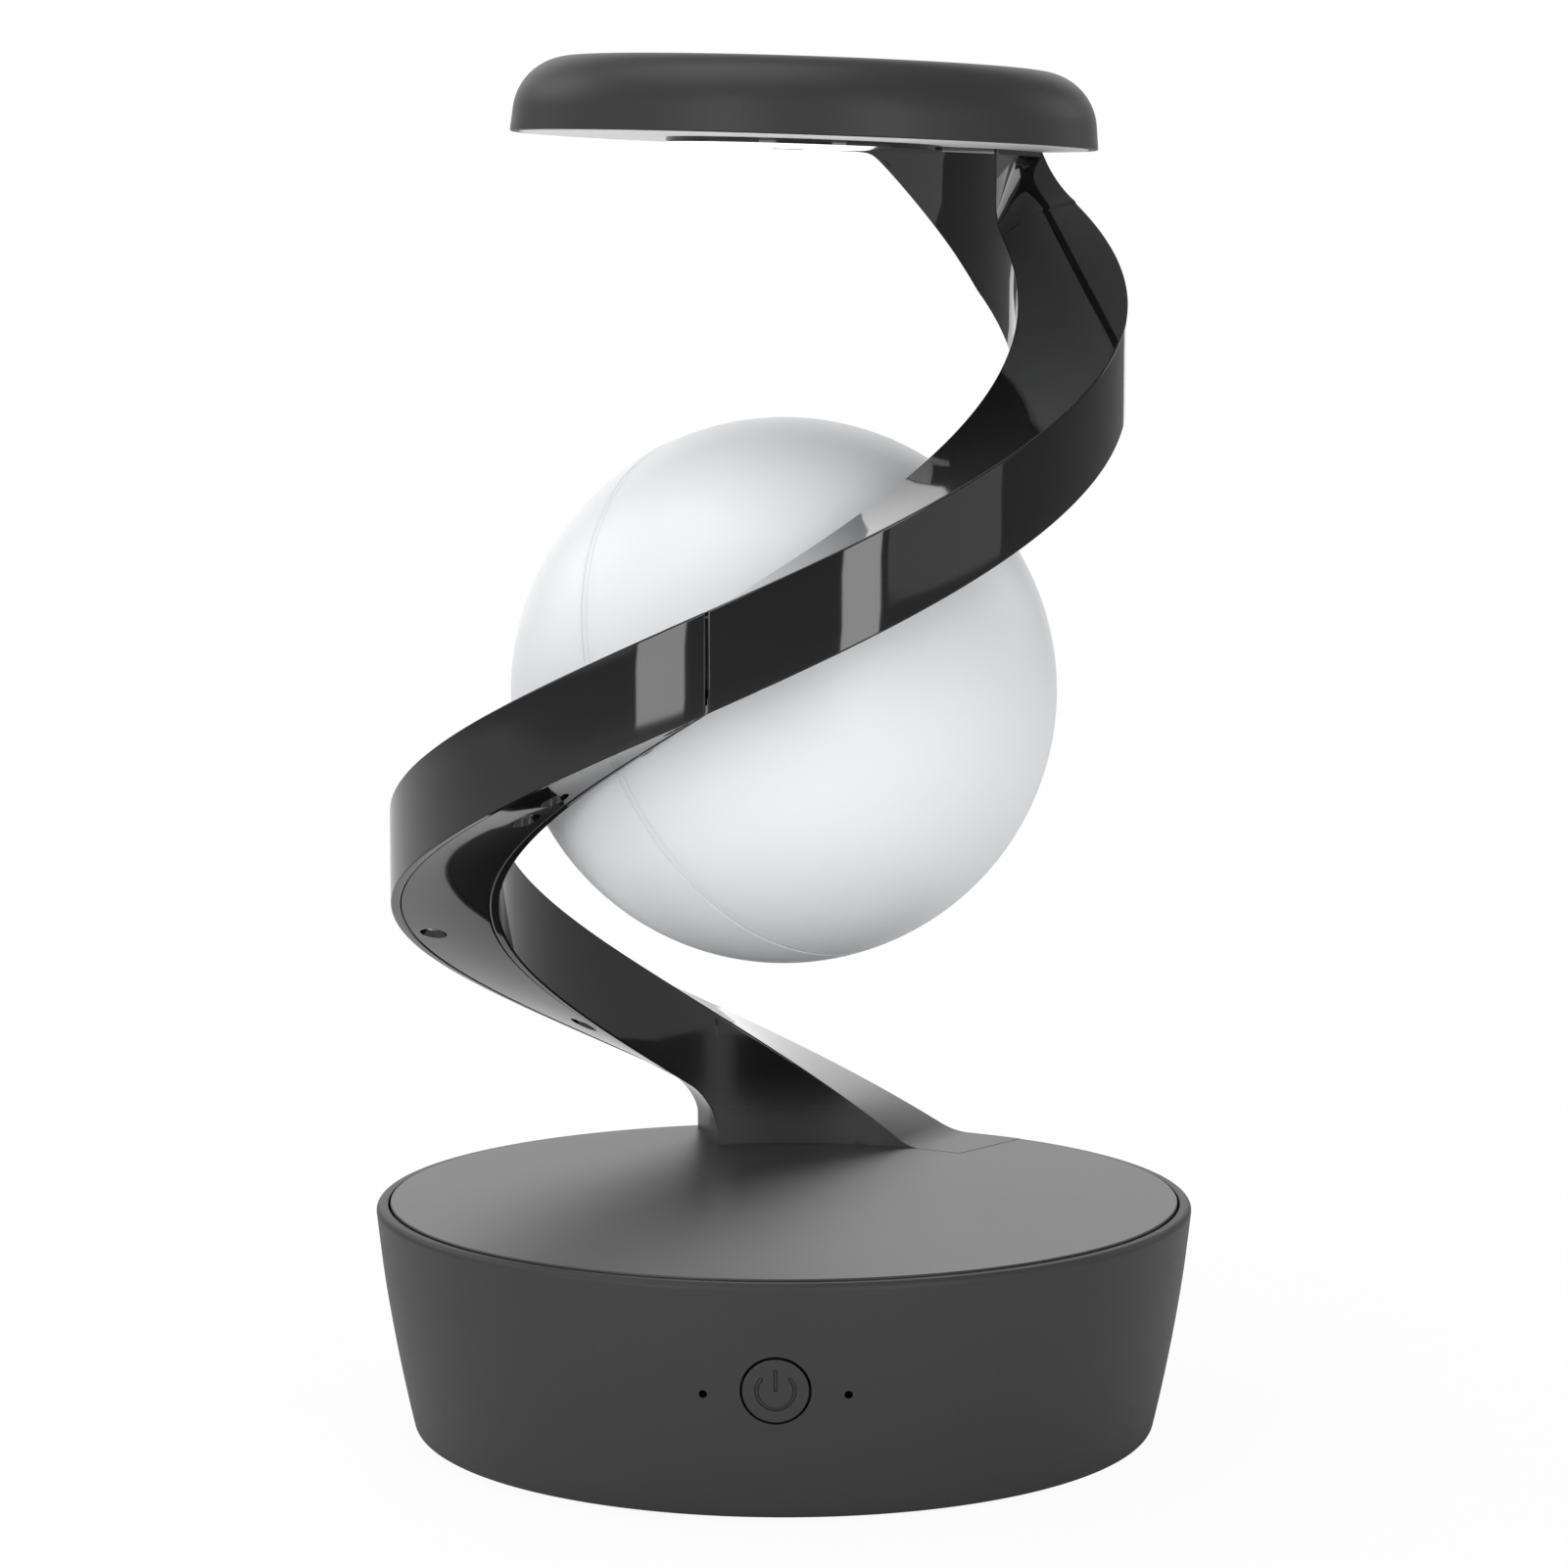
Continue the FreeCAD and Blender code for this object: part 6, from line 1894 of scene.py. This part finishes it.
@dataclass
class Ball(Assembly):
    """White ball: two halves with a seam band between them."""

    radius: float = BALL_RADIUS
    height: float = BALL_HEIGHT
    wall: float = 0.0022
    turn: float = -39.9
    lean: float = 69.3
    rings: int = 72
    band: float = 0.0014
    groove: float = 0.00022
    band_drop: float = 0.00005
    lip_gap: float = 0.00015
    lip_wall: float = 0.0015
    lip_reach: float = 0.0025

    def matrix(self) -> Matrix:
        """Matrix from the ball's own frame, whose Z is square to the seam.

        Returns:
            The matrix.
        """
        return (Matrix.Translation((0.0, 0.0, self.height))
                @ Matrix.Rotation(math.radians(self.turn), 4, "Z")
                @ Matrix.Rotation(math.radians(self.lean), 4, "Y"))

    def half(self, name: str, side: int, node: str) -> None:
        """Make one half of the shell, its rim softened at the seam.

        Args:
            name: name of the piece.
            side: 1 for the front half and -1 for the rear half.
            node: node that it replaces.
        """
        rim, right = self.band / 2, math.pi / 2
        low = math.asin(rim / self.radius) + self.groove / self.radius
        outline = quarter((self.radius, rim), -self.groove, self.groove, EDGE_STEPS)
        outline += [on_circle(self.radius, low + (right - low) * (step + 1) / self.rings)
                    for step in range(self.rings - 1)]
        outline.append((0.0, self.radius))
        inner = [on_circle(self.radius - self.wall, right * (1 - step / self.rings))
                 for step in range(1, self.rings + 1)]
        outline += [(0.0, self.radius - self.wall)] + [(across, most(up, rim)) for across, up in inner]
        made = turned(name, [(across, up * side) for across, up in outline], self.matrix())
        self.dress(shade(made), BALL_WHITE, Body.BALL, "ball_white", node)

    def seam_band(self) -> None:
        """Make the band that joins the halves, with its lip inside them."""
        rim, outer = self.band / 2, self.radius - self.band_drop
        edge = rim - self.band_drop
        lip = self.radius - self.wall - self.lip_gap
        inner = lip - self.lip_wall
        outline = rounded([(lip, -self.lip_reach, 0.0), (lip, -rim, 0.0),
                           (outer, -edge, self.groove), (outer, edge, self.groove),
                           (lip, rim, 0.0), (lip, self.lip_reach, 0.0), (inner, self.lip_reach, 0.0),
                           (inner, -self.lip_reach, 0.0)])
        band = turned("ball_band", outline, self.matrix())
        self.dress(shade(band), BALL_WHITE, Body.BALL, "ball_white", "ball_seam_band")

    def build(self) -> None:
        """Make the ball."""
        self.half("ball_front_cap", 1, "ball_front_half")
        self.half("ball_rear_cap", -1, "ball_rear_half")
        self.seam_band()


# ---------------------------------------------------------------- fasteners and lamps


@dataclass(frozen=True)
class Site:
    """Place of one fastener: underside of its head and the way its shank points."""

    spot: Vector
    way: Vector


@dataclass
class Fittings(Assembly):
    """Screws and lamps, each made once and repeated by a tree."""

    arm: Arm
    ball: Ball
    shank: float = 0.0009
    thread_share: float = 0.82
    thread_pitch: float = 0.0006
    thread_turns: int = 7
    thread_ends: tuple[float, float] = (0.0002, 0.0005)
    head_radius: float = 0.0015
    head_height: float = 0.0009
    head_rings: int = 5
    length: float = 0.006
    turns: int = 24
    slot_size: tuple[float, float] = (0.001683, 0.0003465)
    slot_floor: float = 0.0005
    slot_top: float = 0.002
    led_side: float = 0.0028
    led_rise: float = 0.0007
    led_steps: tuple[Point, ...] = ((1.0, 0.8), (0.86, 0.95), (0.76, 0.95), (0.72, 0.7), (0.5, 0.82),
                                    (0.25, 0.92), (0.0, 1.0))
    head_ring: tuple[int, float, float] = (24, 0.027, 0.0048)
    ball_ring: tuple[int, float, float] = (8, 0.018, 0.0146)

    def screw_shape(self) -> bpy.types.Object:
        """Pan-head screw with a cross recess, its head towards -Z.

        Returns:
            The screw, at the origin.
        """
        outline = [(0.0, -self.head_height)]
        for step in range(1, self.head_rings):
            down, across = on_circle(1.0, math.pi / 2 * step / self.head_rings)
            outline.append((self.head_radius * across, -self.head_height * down))
        outline.append((self.head_radius, 0.0))
        root_radius = self.shank * self.thread_share
        for turn in range(self.thread_turns):
            low, high = (end + turn * self.thread_pitch for end in self.thread_ends)
            outline += [(root_radius, low), (self.shank, high)]
        outline += [(root_radius, self.length - self.thread_pitch), (0.0, self.length)]
        screw = turned("screw", outline, turns=self.turns)
        return carved(screw, [self.slot(0.0), self.slot(math.pi / 2)])

    def slot(self, turn: float) -> bpy.types.Object:
        """Cutter of one slot of the cross recess, turned by an angle."""
        return self.square("slot", [(0.0, -self.slot_top), (1.0, -self.slot_top), (1.0, -self.slot_floor),
                                    (0.0, -self.slot_floor)], self.slot_size, turn)

    def square(self, name: str, outline: Sequence[Point], size: Point, turn: float = 0.0) -> bpy.types.Object:
        """Four-sided solid whose outline is given for half a side of one.

        Args:
            name: name of the object.
            outline: share of the half side and height of each point.
            size: length and width.
            turn: angle that it is turned by.

        Returns:
            The new object.
        """
        diagonal = math.sqrt(0.5)
        place = (Matrix.Rotation(turn, 4, "Z")
                 @ Matrix.Diagonal((size[0] * diagonal, size[1] * diagonal, 1.0, 1.0))
                 @ Matrix.Rotation(math.pi / 4, 4, "Z"))
        return turned(name, outline, place, turns=4)

    def lamp_shape(self) -> bpy.types.Object:
        """Square lamp body with a round lens.

        Returns:
            The body, at the origin.
        """
        outline = [(0.0, 0.0), (1.0, 0.0)]
        outline += [(share, self.led_rise * rise) for share, rise in self.led_steps]
        return self.square("lamp_body", outline, (self.led_side, self.led_side))

    def repeated(self, name: str, shape: bpy.types.Object, sites: Sequence[Site],
                 finish: Finish) -> bpy.types.Object:
        """Copies of a shape at each site, made real by a geometry tree.

        Args:
            name: name of the piece.
            shape: the shape, with its axis along +Z.
            sites: where the copies go.
            finish: finish of the copies.

        Returns:
            The new object with its plain mesh.
        """
        mesh = bpy.data.meshes.new(name)
        mesh.from_pydata([site.spot for site in sites], [], [])
        way = mesh.attributes.new("way", "FLOAT_VECTOR", "POINT")
        for index, site in enumerate(sites):
            way.data[index].vector = site.way
        tree = GeometryTree(name + "_tree", {"Shape": "Object", "Size": "Float", "Finish": "Material"})
        given = tree.start.outputs
        source = tree.node("GeometryNodeObjectInfo", inputs={"Object": given["Shape"]})
        facing = tree.node("GeometryNodeInputNamedAttribute", {"data_type": "FLOAT_VECTOR"},
                           {"Name": "way"})
        turn = tree.node("FunctionNodeAlignRotationToVector", {"axis": "Z"}, {"Vector": facing.outputs[0]})
        placed = tree.node("GeometryNodeInstanceOnPoints", inputs={
            "Points": given["Geometry"], "Instance": source.outputs["Geometry"],
            "Rotation": turn.outputs[0], "Scale": given["Size"]})
        tree.close(placed.outputs[0])
        values = {"Shape": shape, "Size": 1.0, "Finish": self.wardrobe.take(finish)}
        return shade(tree.run(linked(name, mesh), values))

    def lamp_ring(self, ring: tuple[int, float, float], place: Matrix, side: int) -> list[Site]:
        """Lamps in a ring on a light board.

        Args:
            ring: number of lamps, radius of the ring and height of the board's face.
            place: matrix from the board's frame.
            side: 1 where the lamps face up and -1 where they face down.

        Returns:
            The lamps' sites.
        """
        count, radius, height = ring
        way = place.to_3x3() @ Vector((0, 0, side))
        return [Site(place @ Vector((*on_circle(radius, 2 * math.pi * step / count), height)), way)
                for step in range(count)]

    def make_screws(self) -> None:
        """Screws of both arm covers."""
        screw, up = self.screw_shape(), Vector((0, 0, 1))
        for name, node, angles in (("lower_arm_screws", "lower_cover_screws", self.arm.lower_screws),
                                   ("upper_arm_screws", "upper_cover_screws", self.arm.upper_screws)):
            sites = [Site(self.arm.screw_seat(angle), up) for angle in angles]
            self.dress(self.repeated(name, screw, sites, SCREW), SCREW, Body.LAMP, "screw_steel", node)
        bpy.data.objects.remove(screw)

    def make_lamps(self) -> None:
        """Lamps of the head and of both light boards of the ball."""
        lamp, (count, radius, height) = self.lamp_shape(), self.ball_ring
        head = self.lamp_ring(self.head_ring, self.arm.head.matrix(), -1)
        ball = [site for side in (-1, 1)
                for site in self.lamp_ring((count, radius, side * height), self.ball.matrix(), side)]
        for name, node, sites, body in (("head_lamps", "head_leds", head, Body.LAMP),
                                        ("ball_lamps", "ball_leds", ball, Body.BALL)):
            self.dress(self.repeated(name, lamp, sites, LED_LENS), LED_LENS, body, "led_lens", node)
        bpy.data.objects.remove(lamp)

    def build(self) -> None:
        """Make the fittings."""
        self.make_screws()
        self.make_lamps()


# ---------------------------------------------------------------- studio


@dataclass(frozen=True)
class Softbox:
    """Soft rectangular light: its place, what it faces, its size and its power."""

    name: str
    spot: tuple[float, float, float]
    aim: tuple[float, float, float]
    width: float
    height: float
    power: float

    def build(self) -> None:
        """Make the light."""
        light = bpy.data.lights.new(self.name, "AREA")
        light.shape = "RECTANGLE"
        light.size, light.size_y = self.width, self.height
        light.energy = self.power
        made = linked(self.name, light)
        made.location = self.spot
        made.rotation_euler = (Vector(self.aim) - Vector(self.spot)).to_track_quat("-Z", "Y").to_euler()


@dataclass
class Studio:
    """Camera, floor, white surroundings and soft lights."""

    eye: tuple[float, float, float] = (0.0176, -0.8998, 0.2357)
    pitch: float = 7.35
    heading: float = 1.12
    lens: float = 114.24
    sensor: float = 36.0
    sight: tuple[float, float] = (0.05, 20.0)
    ambient: float = 0.3
    floor_share: float = 0.95
    floor_level: float = 0.9
    floor_rough: float = 0.9
    floor_radius: float = 6.0
    floor_depth: float = 0.02
    floor_turns: int = 64
    shadow_reach: tuple[float, float] = (0.12, 0.6)
    lights: tuple[Softbox, ...] = (
        Softbox("top_light", (-0.3, 0.0, 1.3), (0, 0, 0.12), 0.9, 0.9, 5.9),
        Softbox("back_light", (-0.1, 1.7, 0.6), (0, 0, 0.3), 1.6, 1.2, 7.8),
        Softbox("left_back", (-0.95, 0.55, 0.75), (0, 0, 0.15), 0.5, 0.5, 2.0),
        Softbox("right_back", (0.95, 0.7, 0.55), (0, 0, 0.05), 0.4, 0.4, 0.9),
        Softbox("left_fill", (-1.05, -0.55, 0.35), (0, 0, 0.3), 1.1, 0.6, 1.6),
        Softbox("right_fill", (1.0, -0.62, 0.35), (0, 0, 0.3), 0.85, 0.6, 1.2),
        Softbox("front_strip_left", (-0.485, -0.877, 0.46), (0, 0, 0.46), 0.255, 0.88, 3.4),
        Softbox("front_strip_right", (0.502, -0.865, 0.46), (0, 0, 0.46), 0.205, 0.88, 3.1),
    )

    def make_camera(self) -> None:
        """Camera of the main view."""
        data = bpy.data.cameras.new("camera")
        data.lens = self.lens
        data.sensor_width = self.sensor
        data.clip_start, data.clip_end = self.sight
        camera = linked("camera", data)
        camera.location = self.eye
        camera.rotation_euler = (math.radians(90 - self.pitch), 0.0, math.radians(self.heading))
        bpy.context.scene.camera = camera

    def make_world(self) -> None:
        """World that is white to the camera and a plain grey light to the object."""
        world = bpy.data.worlds.new("surroundings")
        bpy.context.scene.world = world
        world.use_nodes = True
        tree = Tree(world.node_tree)
        path = tree.node("ShaderNodeLightPath")
        shown = Number(tree, path.outputs["Is Camera Ray"])
        back = world.node_tree.nodes["Background"]
        back.inputs["Color"].default_value = WHITE
        tree.feed(back.inputs["Strength"], self.ambient + shown * (1.0 - self.ambient))

    def make_floor(self) -> None:
        """Pale round floor that keeps a faint shadow."""
        reach, low = self.floor_radius, -self.floor_depth
        outline = [(0.0, low), (reach, low), (reach, 0.0), (0.0, 0.0)]
        floor = turned("floor", outline, turns=self.floor_turns)
        material = bpy.data.materials.new("pale_floor")
        material.use_nodes = True
        tree = Tree(material.node_tree)
        shader = material.node_tree.nodes["Principled BSDF"]
        shader.inputs["Base Color"].default_value = grey(self.floor_level)
        shader.inputs["Roughness"].default_value = self.floor_rough
        glow = tree.node("ShaderNodeEmission", inputs={"Color": WHITE, "Strength": 1.0})
        path = tree.node("ShaderNodeLightPath")
        x, y, _z = tree.parts(tree.node("ShaderNodeTexCoord").outputs["Object"])
        away = ramp(root(x * x + y * y), *self.shadow_reach)
        share = self.floor_share + away * (1.0 - self.floor_share)
        shown = Number(tree, path.outputs["Is Camera Ray"]) * share
        both = tree.node("ShaderNodeMixShader", inputs={0: shown, 1: shader.outputs[0], 2: glow.outputs[0]})
        out = material.node_tree.nodes["Material Output"]
        tree.feed(out.inputs["Surface"], both.outputs[0])
        floor.data.materials.append(material)

    def build(self) -> None:
        """Set the studio up."""
        self.make_camera()
        self.make_world()
        self.make_floor()
        for light in self.lights:
            light.build()
        bpy.context.scene.view_settings.view_transform = "Standard"


def dress_nodes(wardrobe: Wardrobe, nodes: dict[str, bpy.types.Object]) -> None:
    """Give every solid that stays in view its finish.

    Args:
        wardrobe: the finishes.
        nodes: the frame's nodes by name.
    """
    for name, finish in NODE_FINISHES.items():
        wardrobe.put_on(nodes[name], finish)
        LOG.info("%s: kept, dressed in %s", name, finish.name)


def main() -> None:
    """Build the lamp's looks and its studio."""
    logging.basicConfig(level=logging.INFO, format="%(name)s %(message)s")
    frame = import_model()
    wardrobe = Wardrobe()
    dress_nodes(wardrobe, frame["nodes"])
    Base(wardrobe).build()
    arm = Arm(wardrobe)
    arm.build()
    Head(wardrobe).build()
    ball = Ball(wardrobe)
    ball.build()
    Fittings(wardrobe, arm, ball).build()
    Studio().build()


if __name__ == "__main__":
    main()
